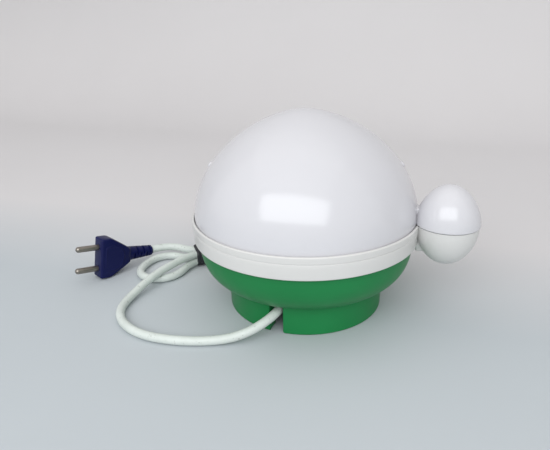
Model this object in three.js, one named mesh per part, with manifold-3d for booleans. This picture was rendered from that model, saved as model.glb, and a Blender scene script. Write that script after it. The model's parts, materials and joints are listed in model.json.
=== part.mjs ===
// Round tabletop egg incubator with a half-egg lug, as separate closed pieces.
// Millimetres, +Z up. The origin is on the table under the middle of the housing and its lug,
// +X runs from the round housing to the lug, and -Y is the side the cord leaves from.

import * as THREE from "three";
import { mergeVertices } from "three/addons/utils/BufferGeometryUtils.js";
import Module from "manifold-3d";

const wasm = await Module();
wasm.setup();

// ---------------------------------------------------------------- driving dimensions

const ROUND = 48; // facets round the large shells
const LUG_ROUND = 24; // facets round the half-egg lug
const SMALL_ROUND = 12; // facets round a screw
const GAP = 0.3; // clearance between neighbours that touch

const LIP_Z = 72; // parting plane of lid and base
const LID_RADIUS = 82.75;
const LID_RISE = 76.5;
const LID_HEIGHT_POWER = 1.8945;
const LID_RADIUS_POWER = 0.5945;
const LID_WALL = 2;
const LID_SKIRT_Z = 66.3;

const VENT_RISE = 36; // height of the two steam vents above the parting plane
const VENT_AZIMUTHS = [14, -166];
const VENT_RADIUS = 2.3;
const VENT_BORE = 1;
const VENT_PROUD = 1;

const LUG_OFFSET = 103; // lug axis from the housing axis
const LUG_TOP_RADIUS = 22.3;
const LUG_TOP_RISE = 28;
const LUG_LOW_RADIUS = 21.6;
const LUG_LOW_DROP = 29.5;
const LUG_WALL = 2;
const WEB_HALF_WIDTH = 5;

const RING_RADIUS = 85;
const RING_FOOT_Z = 55.4;
const RING_SKIRT_INNER = 81;
const RING_WELL_RADIUS = 83.2;
const RING_SHELF_Z = 66;
const RING_SHELF_INNER = 69.2;

const BOWL_RADIUS = 80.56;
const BOWL_TURN_Z = 59.1;
const BOWL_DEPTH = 43.64;
const BOWL_HEIGHT_POWER = 3.016;
const BOWL_RADIUS_POWER = 0.306;
const BOWL_WALL = 2.4;
const BOWL_TOP_Z = 63;
const FLOOR_Z = 21.5;
const FLOOR_TOP_Z = 24;
const FLOOR_OPENING = 24;
const FOOT_RADIUS = 59;
const FOOT_WALL = 3;
const SLOT_AZIMUTH = -95.3;
const SLOT_HALF_WIDTH = 5;
const SLOT_CORNER = 1.3;

const RING_SCREW_RADIUS = 76;
const RING_SCREW_AZIMUTHS = [45, 135, 225, 315];
const COVER_SCREW_RADIUS = 37;
const COVER_SCREW_AZIMUTHS = [85, 205, 325];
const SHIELD_SCREW_RADIUS = 46;
const SHIELD_SCREW_AZIMUTHS = [25, 145, 265];

const PAN_RIM_RADIUS = 79.6;
const PAN_FLANGE_Z = 67.5;
const PAN_SHEET = 0.8;
const PAN_FLOOR_Z = 46.5;

const TRAY_RADIUS = 72.5;
const TRAY_DECK_Z = 60.5;
const TRAY_DECK = 1.8;
const EGG_HOLE = 17.5;
const EGG_PITCH = 45.5;

const ELEMENT_RADIUS = 38;
const ELEMENT_TUBE = 3.25;
const ELEMENT_Z = 42.7;
const ELEMENT_GAP_ANGLE = 20;
const STUD_RADIUS = 2.5;
const THERMOSTAT_X = 18;
const SHIELD_Z = 30;
const SHIELD_RADIUS = 56;

const CUP_RADIUS = 28;
const CUP_WALL = 2.5;
const CUP_BASE_Z = 7;
const CUP_FLOOR_Z = 9.5;
const CUP_RIM_Z = 21.2;
const EAR_ROOT = 26.5; // radius where the cup's three screw ears start, inside its wall
const EAR_LOW_Z = 18.7;
const TERMINAL_TOP_Z = 19.8;
const TERMINAL_SPACING = 10;
const CLAMP_Y = -17.4; // middle of the cord clamp
const CLAMP_TOP_Z = 21;
const CLAMP_SCREW_OFFSET = 6.3;

const CORD_RADIUS = 3.25;
const CORD_SIDES = 10;
const CORD_EXIT_Y = -48;
const CORD_EXIT_Z = 16;

const HOUSING_LENGTH = RING_RADIUS + LUG_OFFSET + LUG_TOP_RADIUS;
const AXIS_X = RING_RADIUS - HOUSING_LENGTH / 2; // housing axis, with the whole length centred on x = 0
const CORD_EXIT_X = -24.3;
const RELIEF_X = CORD_EXIT_X - AXIS_X; // strain relief beside the housing axis, in the slot's line

// ---------------------------------------------------------------- materials

function plastic(color, roughness) {
  return new THREE.MeshStandardMaterial({ color, roughness, metalness: 0 });
}

function metal(color, roughness) {
  return new THREE.MeshStandardMaterial({ color, roughness, metalness: 1 });
}

const MATERIALS = {
  lidWhite: plastic(0xdedee4, 0.22),
  ringWhite: plastic(0xe0e0df, 0.4),
  bowlGreen: plastic(0x1f8a4d, 0.42),
  trayPlastic: plastic(0xe6e2d2, 0.45),
  stainless: metal(0xc9cbcc, 0.3),
  zincSteel: metal(0xb9bcc0, 0.38),
  sheathSteel: metal(0x8d8f90, 0.42),
  aluminium: metal(0xc4c6c8, 0.45),
  silicone: plastic(0xb9472f, 0.65),
  phenolic: plastic(0x2a211d, 0.5),
  terminalNylon: plastic(0xe9e7dc, 0.5),
  leadRed: plastic(0x9c2a22, 0.55),
  leadBlue: plastic(0x2a4f9c, 0.55),
  leadWhite: plastic(0xd9d6cc, 0.6),
  cordWhite: plastic(0xcdd6d1, 0.5),
  tieBlack: plastic(0x16181f, 0.6),
  plugBlue: plastic(0x141c50, 0.4),
  pinNickel: metal(0xb4ab9c, 0.34),
};

// ---------------------------------------------------------------- solids

function solidOf(geometry) {
  const bare = geometry.clone();
  bare.deleteAttribute("normal");
  bare.deleteAttribute("uv");
  const merged = mergeVertices(bare, 1e-4);
  return new wasm.Manifold(
    new wasm.Mesh({
      numProp: 3,
      vertProperties: merged.attributes.position.array,
      triVerts: new Uint32Array(merged.index.array),
    }),
  );
}

function geometryOf(solid) {
  const made = solid.getMesh();
  const indexed = new THREE.BufferGeometry();
  indexed.setAttribute("position", new THREE.BufferAttribute(new Float32Array(made.vertProperties), 3));
  indexed.setIndex(new THREE.BufferAttribute(new Uint32Array(made.triVerts), 1));
  const geometry = indexed.toNonIndexed();
  geometry.computeVertexNormals();
  return geometry;
}

// A profile of [radius, z] pairs, turned about the Z axis.
function turned(profile, facets = ROUND) {
  const points = profile.map(([radius, z]) => new THREE.Vector2(radius, z));
  return new THREE.LatheGeometry(points, facets).rotateX(Math.PI / 2);
}

function turnedSolid(profile, facets = ROUND) {
  return solidOf(turned(profile, facets));
}

// A profile that doesn't reach the axis, closed on itself.
function turnedLoop(profile, facets = ROUND) {
  return turnedSolid([...profile, profile[0]], facets);
}

function disc(radius, lowZ, highZ, x = 0, y = 0, facets = 24) {
  const height = highZ - lowZ;
  const round = new THREE.CylinderGeometry(radius, radius, height, facets).rotateX(Math.PI / 2);
  return solidOf(round.translate(x, y, lowZ + height / 2));
}

function block(lowX, highX, lowY, highY, lowZ, highZ) {
  const box = new THREE.BoxGeometry(highX - lowX, highY - lowY, highZ - lowZ);
  return solidOf(box.translate((lowX + highX) / 2, (lowY + highY) / 2, (lowZ + highZ) / 2));
}

function polar(radius, degrees) {
  const angle = THREE.MathUtils.degToRad(degrees);
  return [radius * Math.cos(angle), radius * Math.sin(angle)];
}

function outline(points) {
  return new THREE.Shape(points.map(([x, y]) => new THREE.Vector2(x, y)));
}

// A plate of the given outline, from lowZ up.
function plate(shape, lowZ, thickness) {
  const settings = { depth: thickness, bevelEnabled: false, curveSegments: 8 };
  const extruded = new THREE.ExtrudeGeometry(shape, settings);
  return solidOf(extruded.translate(0, 0, lowZ));
}

function tubeGeometry(path, radius, steps, sides) {
  const section = outline(Array.from({ length: sides }, (_, side) => polar(radius, (side * 360) / sides)));
  return new THREE.ExtrudeGeometry(section, { extrudePath: path, steps, bevelEnabled: false });
}

function smoothPath(points) {
  return new THREE.CatmullRomCurve3(
    points.map((point) => new THREE.Vector3(...point)),
    false,
    "centripetal",
  );
}

const part = new THREE.Group();
const housing = new THREE.Group(); // everything placed about the housing axis
housing.position.x = AXIS_X;
part.add(housing);

function addPiece(group, name, shape, material) {
  const geometry = shape.isBufferGeometry ? shape : geometryOf(shape);
  const mesh = new THREE.Mesh(geometry, material.clone());
  mesh.name = name;
  group.add(mesh);
  return mesh;
}

// ---------------------------------------------------------------- lid with the upper half of the lug

// Points on a cap from its rim, at parameter 0, to its top on the axis.
function capProfile(radius, rise, baseZ, heightPower, radiusPower, steps) {
  const points = [];
  for (let step = 0; step <= steps; step += 1) {
    const angle = (Math.PI / 2) * (step / steps);
    const height = Math.sin(angle) ** (2 / heightPower);
    const reach = step === steps ? 0 : Math.cos(angle) ** (2 * radiusPower);
    points.push([radius * reach, baseZ + rise * height]);
  }
  return points;
}

function domeProfile(inset) {
  const steps = inset > 0 ? 8 : 11;
  return capProfile(
    LID_RADIUS - inset,
    LID_RISE - inset,
    LIP_Z,
    LID_HEIGHT_POWER,
    LID_RADIUS_POWER,
    steps,
  );
}

function domeSolid(inset, lowZ) {
  return turnedSolid([[0, lowZ], [LID_RADIUS - inset, lowZ], ...domeProfile(inset)]);
}

const LUG_TOP_HEIGHT_POWER = 1.755;
const LUG_TOP_RADIUS_POWER = 0.536;

function lugTop(inset, lowZ) {
  const cap = capProfile(
    LUG_TOP_RADIUS - inset,
    LUG_TOP_RISE - inset,
    LIP_Z + GAP,
    LUG_TOP_HEIGHT_POWER,
    LUG_TOP_RADIUS_POWER,
    8,
  );
  const low = inset > 0 ? [[0, lowZ], [LUG_TOP_RADIUS - inset, lowZ]] : [[0, lowZ]];
  return turnedSolid([...low, ...cap], LUG_ROUND).translate([LUG_OFFSET, 0, 0]);
}

function domeNormal(rise) {
  const radiusAt = (height) =>
    LID_RADIUS * (1 - (height / LID_RISE) ** LID_HEIGHT_POWER) ** LID_RADIUS_POWER;
  const slope = (radiusAt(rise + 0.1) - radiusAt(rise - 0.1)) / 0.2;
  return { radius: radiusAt(rise), outward: new THREE.Vector2(1, -slope).normalize() };
}

function ventPost(radius, below, above, azimuth) {
  const { radius: reach, outward } = domeNormal(VENT_RISE);
  const [x, y] = polar(1, azimuth);
  const direction = new THREE.Vector3(x * outward.x, y * outward.x, outward.y);
  const post = new THREE.CylinderGeometry(radius, radius, above + below, 16);
  post.translate(0, (above - below) / 2, 0);
  post.applyQuaternion(new THREE.Quaternion().setFromUnitVectors(new THREE.Vector3(0, 1, 0), direction));
  return solidOf(post.translate(x * reach, y * reach, LIP_Z + VENT_RISE));
}

function makeLid() {
  const midWall = domeSolid(LID_WALL / 2, LID_SKIRT_Z);
  const nearOuter = domeSolid(0.4, LID_SKIRT_Z);
  const web = block(78, 93, -WEB_HALF_WIDTH, WEB_HALF_WIDTH, LIP_Z + GAP, LIP_Z + 12);
  const hollow = lugTop(LUG_WALL, LIP_Z - 1).subtract(nearOuter);
  let lid = domeSolid(0, LID_SKIRT_Z).subtract(domeSolid(LID_WALL, LID_SKIRT_Z - 1));
  lid = lid.add(lugTop(0, LIP_Z + GAP).add(web).subtract(midWall)).subtract(hollow);
  for (const azimuth of VENT_AZIMUTHS) {
    lid = lid.add(ventPost(VENT_RADIUS, 1, VENT_PROUD, azimuth));
    lid = lid.subtract(ventPost(VENT_BORE, 5, 3, azimuth));
  }
  return lid;
}

addPiece(housing, "lid_dome", makeLid(), MATERIALS.lidWhite);

// ---------------------------------------------------------------- rim ring with the lower half of the lug

function lugLow(inset, highZ) {
  const radius = LUG_LOW_RADIUS - inset;
  const drop = LUG_LOW_DROP - inset;
  const steps = 8;
  const points = [];
  for (let step = 0; step <= steps; step += 1) {
    const angle = (Math.PI / 2) * (step / steps);
    points.push([step === 0 ? 0 : radius * Math.sin(angle), LIP_Z - drop * Math.cos(angle)]);
  }
  if (highZ > LIP_Z) points.push([radius, highZ]);
  points.push([0, highZ]);
  return turnedSolid(points, LUG_ROUND).translate([LUG_OFFSET, 0, 0]);
}

function makeRing() {
  const section = [
    [RING_SHELF_INNER, RING_SHELF_Z],
    [RING_SHELF_INNER, BOWL_TOP_Z + GAP],
    [RING_SKIRT_INNER, BOWL_TOP_Z + GAP],
    [RING_SKIRT_INNER, RING_FOOT_Z + 0.4],
    [RING_SKIRT_INNER + 0.4, RING_FOOT_Z],
    [RING_RADIUS - 1.5, RING_FOOT_Z],
    [RING_RADIUS - 0.8, RING_FOOT_Z + 0.7],
    [RING_RADIUS - 0.28, LIP_Z - 5.4],
    [RING_RADIUS - 0.6, LIP_Z - 5.2],
    [RING_RADIUS - 0.6, LIP_Z - 4.9],
    [RING_RADIUS, LIP_Z - 4.6],
    [RING_RADIUS, LIP_Z - 0.6],
    [RING_RADIUS - 0.5, LIP_Z],
    [RING_WELL_RADIUS + 0.4, LIP_Z],
    [RING_WELL_RADIUS, LIP_Z - 0.4],
    [RING_WELL_RADIUS, RING_SHELF_Z],
  ];
  const gusset = block(82.5, 93, -WEB_HALF_WIDTH, WEB_HALF_WIDTH, LIP_Z - 21.5, LIP_Z - 0.1);
  const insideRing = disc(RING_WELL_RADIUS + 0.5, 40, LIP_Z + 2, 0, 0, ROUND);
  const nearOutside = disc(RING_RADIUS - 0.5, 40, LIP_Z + 2, 0, 0, ROUND);
  const hollow = lugLow(LUG_WALL, LIP_Z + 1).subtract(nearOutside);
  const wellAndBowl = disc(82.4, 40, RING_SHELF_Z, 0, 0, ROUND);
  let ring = lugLow(0, LIP_Z).subtract(insideRing).add(gusset.subtract(wellAndBowl));
  ring = ring.subtract(disc(RING_WELL_RADIUS, RING_SHELF_Z, LIP_Z + 2, 0, 0, ROUND));
  ring = ring.add(turnedLoop(section)).subtract(hollow);
  for (const azimuth of RING_SCREW_AZIMUTHS) {
    const [x, y] = polar(RING_SCREW_RADIUS, azimuth);
    ring = ring.subtract(disc(1.9, 60, 70, x, y, SMALL_ROUND));
  }
  return ring;
}

addPiece(housing, "rim_ring", makeRing(), MATERIALS.ringWhite);

// ---------------------------------------------------------------- bowl with its foot ring, bosses and posts

function bowlPoint(angle) {
  const depth = Math.sin(angle) ** (2 / BOWL_HEIGHT_POWER);
  const reach = Math.cos(angle) ** (2 * BOWL_RADIUS_POWER);
  return new THREE.Vector2(BOWL_RADIUS * reach, BOWL_TURN_Z - BOWL_DEPTH * depth);
}

// The bowl's curve from its upright top towards the floor, moved in by a distance along its normal.
function bowlCurve(inset, lastAngle, steps) {
  const points = [];
  for (let step = 1; step <= steps; step += 1) {
    const angle = lastAngle * (step / steps);
    const along = bowlPoint(angle + 0.002).sub(bowlPoint(angle - 0.002)).normalize();
    const point = bowlPoint(angle);
    points.push([point.x + along.y * inset, point.y - along.x * inset]);
  }
  return points;
}

const BOWL_OUTER_END = 0.9252; // where the curve meets the floor plate's underside
const BOWL_INNER_END = 0.8905; // where the inner curve meets the floor plate's top

// The cord slot in the foot ring, its lower corner rounded on the +Y side of its own frame.
function slotCutter() {
  const shape = new THREE.Shape();
  shape.moveTo(-SLOT_HALF_WIDTH, -1);
  shape.lineTo(SLOT_HALF_WIDTH + SLOT_CORNER, -1);
  shape.lineTo(SLOT_HALF_WIDTH + SLOT_CORNER, 0);
  shape.absarc(SLOT_HALF_WIDTH + SLOT_CORNER, SLOT_CORNER, SLOT_CORNER, -Math.PI / 2, -Math.PI, true);
  shape.lineTo(SLOT_HALF_WIDTH, FLOOR_Z);
  shape.lineTo(-SLOT_HALF_WIDTH, FLOOR_Z);
  shape.closePath();
  const cutter = new THREE.ExtrudeGeometry(shape, { depth: 8, bevelEnabled: false, curveSegments: 4 });
  cutter.rotateX(Math.PI / 2).rotateZ(Math.PI / 2).translate(54, 0, 0);
  return solidOf(cutter.rotateZ(THREE.MathUtils.degToRad(SLOT_AZIMUTH)));
}

function slotCheek() {
  const cheek = new THREE.BoxGeometry(9, 2, FLOOR_Z + 0.5);
  cheek.translate(52.5, -SLOT_HALF_WIDTH - 1, (FLOOR_Z + 0.5) / 2);
  return solidOf(cheek.rotateZ(THREE.MathUtils.degToRad(SLOT_AZIMUTH)));
}

function makeBowl() {
  const outer = bowlCurve(0, BOWL_OUTER_END, 9).reverse();
  const inner = bowlCurve(BOWL_WALL, BOWL_INNER_END, 7);
  const section = [
    [FOOT_RADIUS - FOOT_WALL, 0],
    [FOOT_RADIUS - 0.6, 0],
    [FOOT_RADIUS, 0.6],
    ...outer,
    [BOWL_RADIUS, BOWL_TURN_Z],
    [BOWL_RADIUS, BOWL_TOP_Z],
    [BOWL_RADIUS - BOWL_WALL, BOWL_TOP_Z],
    [BOWL_RADIUS - BOWL_WALL, BOWL_TURN_Z],
    ...inner,
    [FLOOR_OPENING, FLOOR_TOP_Z],
    [FLOOR_OPENING, FLOOR_Z],
    [FOOT_RADIUS - FOOT_WALL, FLOOR_Z],
  ];
  let bowl = turnedLoop(section).subtract(slotCutter()).add(slotCheek());
  for (const azimuth of RING_SCREW_AZIMUTHS) {
    const [x, y] = polar(RING_SCREW_RADIUS, azimuth);
    bowl = bowl.add(disc(3.6, 50, BOWL_TOP_Z, x, y, 16)).subtract(disc(1.8, 53, 70, x, y, SMALL_ROUND));
  }
  for (const azimuth of COVER_SCREW_AZIMUTHS) {
    const [x, y] = polar(COVER_SCREW_RADIUS, azimuth);
    bowl = bowl.add(disc(3.8, FLOOR_TOP_Z - 1, 28.5, x, y, 16));
    bowl = bowl.subtract(disc(1.8, 20, 27, x, y, SMALL_ROUND));
  }
  for (const azimuth of SHIELD_SCREW_AZIMUTHS) {
    const [x, y] = polar(SHIELD_SCREW_RADIUS, azimuth);
    bowl = bowl.add(disc(3.2, FLOOR_TOP_Z - 1, SHIELD_Z - GAP, x, y, 16));
    bowl = bowl.subtract(disc(1.5, FLOOR_TOP_Z + 1, 32, x, y, SMALL_ROUND));
  }
  return bowl;
}

addPiece(housing, "base_bowl", makeBowl(), MATERIALS.bowlGreen);

// ---------------------------------------------------------------- pan and gasket

function makePan() {
  const floorTop = PAN_FLOOR_Z + PAN_SHEET;
  const flangeTop = PAN_FLANGE_Z + PAN_SHEET;
  let pan = turnedSolid([
    [0, PAN_FLOOR_Z],
    [60.5, PAN_FLOOR_Z],
    [64.6, 48],
    [66.8, 51.6],
    [68.3, PAN_FLANGE_Z - 0.5],
    [68.8, PAN_FLANGE_Z],
    [PAN_RIM_RADIUS, PAN_FLANGE_Z],
    [PAN_RIM_RADIUS, flangeTop],
    [68.3, flangeTop],
    [67.5, PAN_FLANGE_Z],
    [66, 51.9],
    [64, 48.6],
    [60.3, floorTop],
    [0, floorTop],
  ]);
  for (const azimuth of RING_SCREW_AZIMUTHS) {
    const [x, y] = polar(RING_SCREW_RADIUS, azimuth);
    pan = pan.subtract(disc(1.9, 66, 70, x, y, SMALL_ROUND));
  }
  return pan;
}

function makeGasket() {
  const low = RING_SHELF_Z + GAP;
  const high = PAN_FLANGE_Z - GAP;
  let gasket = turnedLoop([[72.2, low], [79.4, low], [79.4, high], [72.2, high]]);
  for (const azimuth of RING_SCREW_AZIMUTHS) {
    const [x, y] = polar(RING_SCREW_RADIUS, azimuth);
    gasket = gasket.subtract(disc(1.9, 60, 70, x, y, SMALL_ROUND));
  }
  return gasket;
}

addPiece(housing, "heating_pan", makePan(), MATERIALS.stainless);
addPiece(housing, "pan_gasket", makeGasket(), MATERIALS.silicone);

// ---------------------------------------------------------------- egg tray

function makeTray() {
  const deckTop = TRAY_DECK_Z + TRAY_DECK;
  const rimLow = PAN_FLANGE_Z + PAN_SHEET + GAP;
  const rimHigh = rimLow + 1.8;
  let tray = turnedSolid([
    [0, TRAY_DECK_Z],
    [65, TRAY_DECK_Z],
    [66.4, TRAY_DECK_Z + 1.4],
    [66.7, rimLow],
    [TRAY_RADIUS - 0.5, rimLow],
    [TRAY_RADIUS, rimLow + 0.5],
    [TRAY_RADIUS, rimHigh - 0.5],
    [TRAY_RADIUS - 0.5, rimHigh],
    [65.6, rimHigh],
    [64.9, rimHigh - 0.7],
    [64.7, deckTop],
    [0, deckTop],
  ]);
  const holes = [[0, 0], ...[0, 60, 120, 180, 240, 300].map((azimuth) => polar(EGG_PITCH, azimuth))];
  for (const [x, y] of holes) {
    tray = tray.add(disc(EGG_HOLE + 1.4, TRAY_DECK_Z + 0.5, deckTop + 1.6, x, y, 20));
  }
  for (const [x, y] of holes) {
    tray = tray.subtract(disc(EGG_HOLE, TRAY_DECK_Z - 1, deckTop + 3, x, y, 20));
  }
  for (const azimuth of [30, 210]) {
    const lug = outline([[-7, 0], [7, 0], [7, 12], [4.5, 15.7], [-4.5, 15.7], [-7, 12]]);
    const finger = new THREE.ExtrudeGeometry(lug, { depth: 2, bevelEnabled: false });
    finger.rotateX(Math.PI / 2).rotateZ(Math.PI / 2).translate(61.8, 0, deckTop - 0.5);
    tray = tray.add(solidOf(finger.rotateZ(THREE.MathUtils.degToRad(azimuth))));
  }
  return tray;
}

addPiece(housing, "egg_tray", makeTray(), MATERIALS.trayPlastic);

// ---------------------------------------------------------------- heater under the pan

function elementPath() {
  const last = 180 - ELEMENT_GAP_ANGLE;
  const legEnd = (side) => [
    [...polar(ELEMENT_RADIUS, side * (last + 6)), 33.5],
    [...polar(ELEMENT_RADIUS, side * (last + 6)), 37],
    [...polar(ELEMENT_RADIUS, side * last), 41],
  ];
  const points = legEnd(-1);
  for (let azimuth = -last + 10; azimuth <= last - 10; azimuth += 20) {
    points.push([...polar(ELEMENT_RADIUS, azimuth), ELEMENT_Z]);
  }
  points.push(...legEnd(1).reverse());
  return smoothPath(points);
}

const elementTube = tubeGeometry(elementPath(), ELEMENT_TUBE, 40, 8);
addPiece(housing, "heating_element", elementTube, MATERIALS.sheathSteel);

const CLAMP_LOW = 38;
const CLAMP_HIGH = 39.3;

function makeElementClamp() {
  const bar = block(-6, 6, -42, 42, CLAMP_LOW, CLAMP_HIGH);
  return bar.subtract(disc(STUD_RADIUS + 0.4, 30, 45, 0, 0, 16));
}

addPiece(housing, "element_clamp", makeElementClamp(), MATERIALS.zincSteel);
addPiece(housing, "pan_stud", disc(STUD_RADIUS, 31.5, PAN_FLOOR_Z - GAP, 0, 0, 16), MATERIALS.zincSteel);

const CLIP_LOW = 36.4;

function makeThermostatClip() {
  const bar = block(-7, THERMOSTAT_X + 8, -5, 5, CLIP_LOW, CLAMP_LOW - GAP);
  return bar.subtract(disc(STUD_RADIUS + 0.4, 30, 45, 0, 0, 16));
}

function makeNut() {
  const hexagon = outline(Array.from({ length: 6 }, (_, corner) => polar(4.62, corner * 60)));
  return plate(hexagon, CLIP_LOW - GAP - 3.2, 3.2).subtract(disc(STUD_RADIUS + 0.3, 30, 40, 0, 0, 16));
}

addPiece(housing, "thermostat_clip", makeThermostatClip(), MATERIALS.zincSteel);
addPiece(housing, "stud_nut", makeNut(), MATERIALS.zincSteel);

const THERMOSTAT_SPLIT = 43;

function makeThermostatBase() {
  const body = disc(7.6, CLAMP_LOW, THERMOSTAT_SPLIT - GAP, THERMOSTAT_X, 0, 20);
  const blades = block(THERMOSTAT_X - 2, THERMOSTAT_X + 2, -14, 14, 39.5, 40.3);
  return body.add(blades);
}

const thermostatCap = disc(8.2, THERMOSTAT_SPLIT, PAN_FLOOR_Z - GAP, THERMOSTAT_X, 0, 20);
addPiece(housing, "thermostat_cap", thermostatCap, MATERIALS.aluminium);
addPiece(housing, "thermostat_base", makeThermostatBase(), MATERIALS.phenolic);

const FUSE_Y = 15;
const FUSE_Z = 35;

function makeFuse() {
  const profile = [[0, -14], [0.6, -14], [0.6, -7.4], [2, -6.6], [2, 6.6], [0.6, 7.4], [0.6, 9], [0, 9]];
  const fuse = turned(profile, 12);
  return solidOf(fuse.rotateY(Math.PI / 2).translate(-20, FUSE_Y, FUSE_Z));
}

addPiece(housing, "thermal_fuse", makeFuse(), MATERIALS.phenolic);

function makeShield() {
  let shield = disc(SHIELD_RADIUS, SHIELD_Z, SHIELD_Z + PAN_SHEET, 0, 0, ROUND);
  shield = shield.subtract(disc(5.5, 28, 33, 0, 17, 20));
  for (const azimuth of SHIELD_SCREW_AZIMUTHS) {
    const [x, y] = polar(SHIELD_SCREW_RADIUS, azimuth);
    shield = shield.subtract(disc(1.6, 28, 33, x, y, SMALL_ROUND));
  }
  return shield;
}

addPiece(housing, "heat_shield", makeShield(), MATERIALS.aluminium);

// ---------------------------------------------------------------- bottom cover

function makeCover() {
  let cover = turnedSolid([
    [0, CUP_BASE_Z],
    [CUP_RADIUS - 1.5, CUP_BASE_Z],
    [CUP_RADIUS, CUP_BASE_Z + 1.5],
    [CUP_RADIUS, CUP_RIM_Z],
    [CUP_RADIUS - CUP_WALL, CUP_RIM_Z],
    [CUP_RADIUS - CUP_WALL, CUP_FLOOR_Z],
    [0, CUP_FLOOR_Z],
  ]);
  for (const azimuth of COVER_SCREW_AZIMUTHS) {
    const [x, y] = polar(COVER_SCREW_RADIUS, azimuth);
    const arm = new THREE.BoxGeometry(COVER_SCREW_RADIUS - EAR_ROOT, 10, CUP_RIM_Z - EAR_LOW_Z);
    arm.translate((COVER_SCREW_RADIUS + EAR_ROOT) / 2, 0, (CUP_RIM_Z + EAR_LOW_Z) / 2);
    cover = cover.add(solidOf(arm.rotateZ(THREE.MathUtils.degToRad(azimuth))));
    cover = cover.add(disc(5, EAR_LOW_Z, CUP_RIM_Z, x, y, 16));
    cover = cover.subtract(disc(1.8, 15, 22, x, y, SMALL_ROUND));
  }
  const notch = new THREE.CylinderGeometry(4.5, 4.5, 8, 16).translate(RELIEF_X, -27, CORD_EXIT_Z);
  cover = cover.subtract(solidOf(notch));
  cover = cover.subtract(block(RELIEF_X - 4.5, RELIEF_X + 4.5, -31, -23, CORD_EXIT_Z, 22));
  cover = cover.add(block(RELIEF_X - 8.5, RELIEF_X + 8.5, -20.4, -14.4, CUP_FLOOR_Z - 1, 12.3));
  for (const side of [-1, 1]) {
    const x = RELIEF_X + side * CLAMP_SCREW_OFFSET;
    cover = cover.subtract(disc(1.2, CUP_FLOOR_Z, 15, x, CLAMP_Y, SMALL_ROUND));
  }
  return cover;
}

addPiece(housing, "bottom_cover", makeCover(), MATERIALS.bowlGreen);

// ---------------------------------------------------------------- wiring in the cup

function makeTerminalBlock() {
  let terminal = block(-11, 11, -3, 11, CUP_FLOOR_Z + GAP, TERMINAL_TOP_Z);
  terminal = terminal.subtract(block(-0.8, 0.8, -4, 12, 16, 21));
  for (const side of [-1, 1]) {
    terminal = terminal.subtract(disc(1.5, 12.5, 21, (side * TERMINAL_SPACING) / 2, 4, SMALL_ROUND));
  }
  return terminal;
}

addPiece(housing, "terminal_block", makeTerminalBlock(), MATERIALS.terminalNylon);

function makeCordClamp() {
  const saddle = block(RELIEF_X - 8.5, RELIEF_X + 8.5, CLAMP_Y - 2.5, CLAMP_Y + 2.5, 12.6, CLAMP_TOP_Z);
  const groove = new THREE.CylinderGeometry(3.6, 3.6, 8, 16).translate(RELIEF_X, CLAMP_Y, CORD_EXIT_Z);
  let clamp = saddle.subtract(solidOf(groove));
  clamp = clamp.subtract(block(RELIEF_X - 3.6, RELIEF_X + 3.6, -22, -12, 12, CORD_EXIT_Z));
  for (const side of [-1, 1]) {
    const x = RELIEF_X + side * CLAMP_SCREW_OFFSET;
    clamp = clamp.subtract(disc(1.2, 12, 22, x, CLAMP_Y, SMALL_ROUND));
  }
  return clamp;
}

addPiece(housing, "cord_clamp", makeCordClamp(), MATERIALS.terminalNylon);

// The cord's end inside the cup: its jacket, and the two cores that reach the terminals.
function makeInnerCord() {
  const jacket = new THREE.CylinderGeometry(CORD_RADIUS, CORD_RADIUS, 10.6, 12);
  let inner = solidOf(jacket.translate(RELIEF_X, -16.3, CORD_EXIT_Z));
  for (const side of [-1, 1]) {
    const x = (side * TERMINAL_SPACING) / 2;
    const start = RELIEF_X + side * 1.5;
    const core = smoothPath([
      [start, -12, CORD_EXIT_Z],
      [start + (x - start) * 0.3, -8.6, CORD_EXIT_Z],
      [x, -5.6, CORD_EXIT_Z - 1],
      [x, -3.3, CORD_EXIT_Z - 1],
    ]);
    inner = inner.add(solidOf(tubeGeometry(core, 1, 6, 8)));
  }
  return inner;
}

addPiece(housing, "inner_cord", makeInnerCord(), MATERIALS.leadWhite);

const LEADS = {
  lead_live: {
    material: MATERIALS.leadRed,
    points: [
      [5, 11.6, 15], [5, 15, 16.2], [3.6, 17.6, 21], [2.4, 17.6, 28],
      [2.6, 17.8, 32.4], [7.5, 19, 35], [13, 19.6, 38], [18, 18.2, 39.9], [18, 14.3, 39.9],
    ],
  },
  lead_neutral: {
    material: MATERIALS.leadBlue,
    points: [
      [-5, 11.6, 15], [-5, 15, 16.2], [-3.6, 17.2, 21], [-2.4, 17.2, 28],
      [-2.6, 17, 32], [-5.6, 15.6, 34.6], [-10.6, FUSE_Y, FUSE_Z],
    ],
  },
  lead_heater: {
    material: MATERIALS.leadWhite,
    points: [
      [18, -14.6, 39.9], [17.6, -18, 39], [12, -20.6, 36], [0, -20.6, 33.8],
      [-16, -17, 33], [-29, -10.5, 33], [-33.3, -9.2, 33.4],
    ],
  },
};

for (const [name, { points, material }] of Object.entries(LEADS)) {
  addPiece(housing, name, tubeGeometry(smoothPath(points), 1, 18, 8), material);
}

// ---------------------------------------------------------------- screws

// A cross-recess screw that stands with its head up and the underside of the head at z = 0.
function makeScrew(shankRadius, shankLength, headRadius, headHeight) {
  const profile = [
    [0, -shankLength],
    [shankRadius * 0.5, -shankLength],
    [shankRadius, -shankLength + shankRadius],
    [shankRadius, 0],
    [headRadius, 0],
    [headRadius, headHeight * 0.4],
    [headRadius * 0.6, headHeight],
    [0, headHeight],
  ];
  const reach = headRadius * 0.5;
  const bar = headRadius * 0.13;
  const recess = block(-reach, reach, -bar, bar, headHeight * 0.4, headHeight + 1);
  const crossing = block(-bar, bar, -reach, reach, headHeight * 0.4, headHeight + 1);
  return geometryOf(turnedSolid(profile, SMALL_ROUND).subtract(recess.add(crossing)));
}

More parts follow.
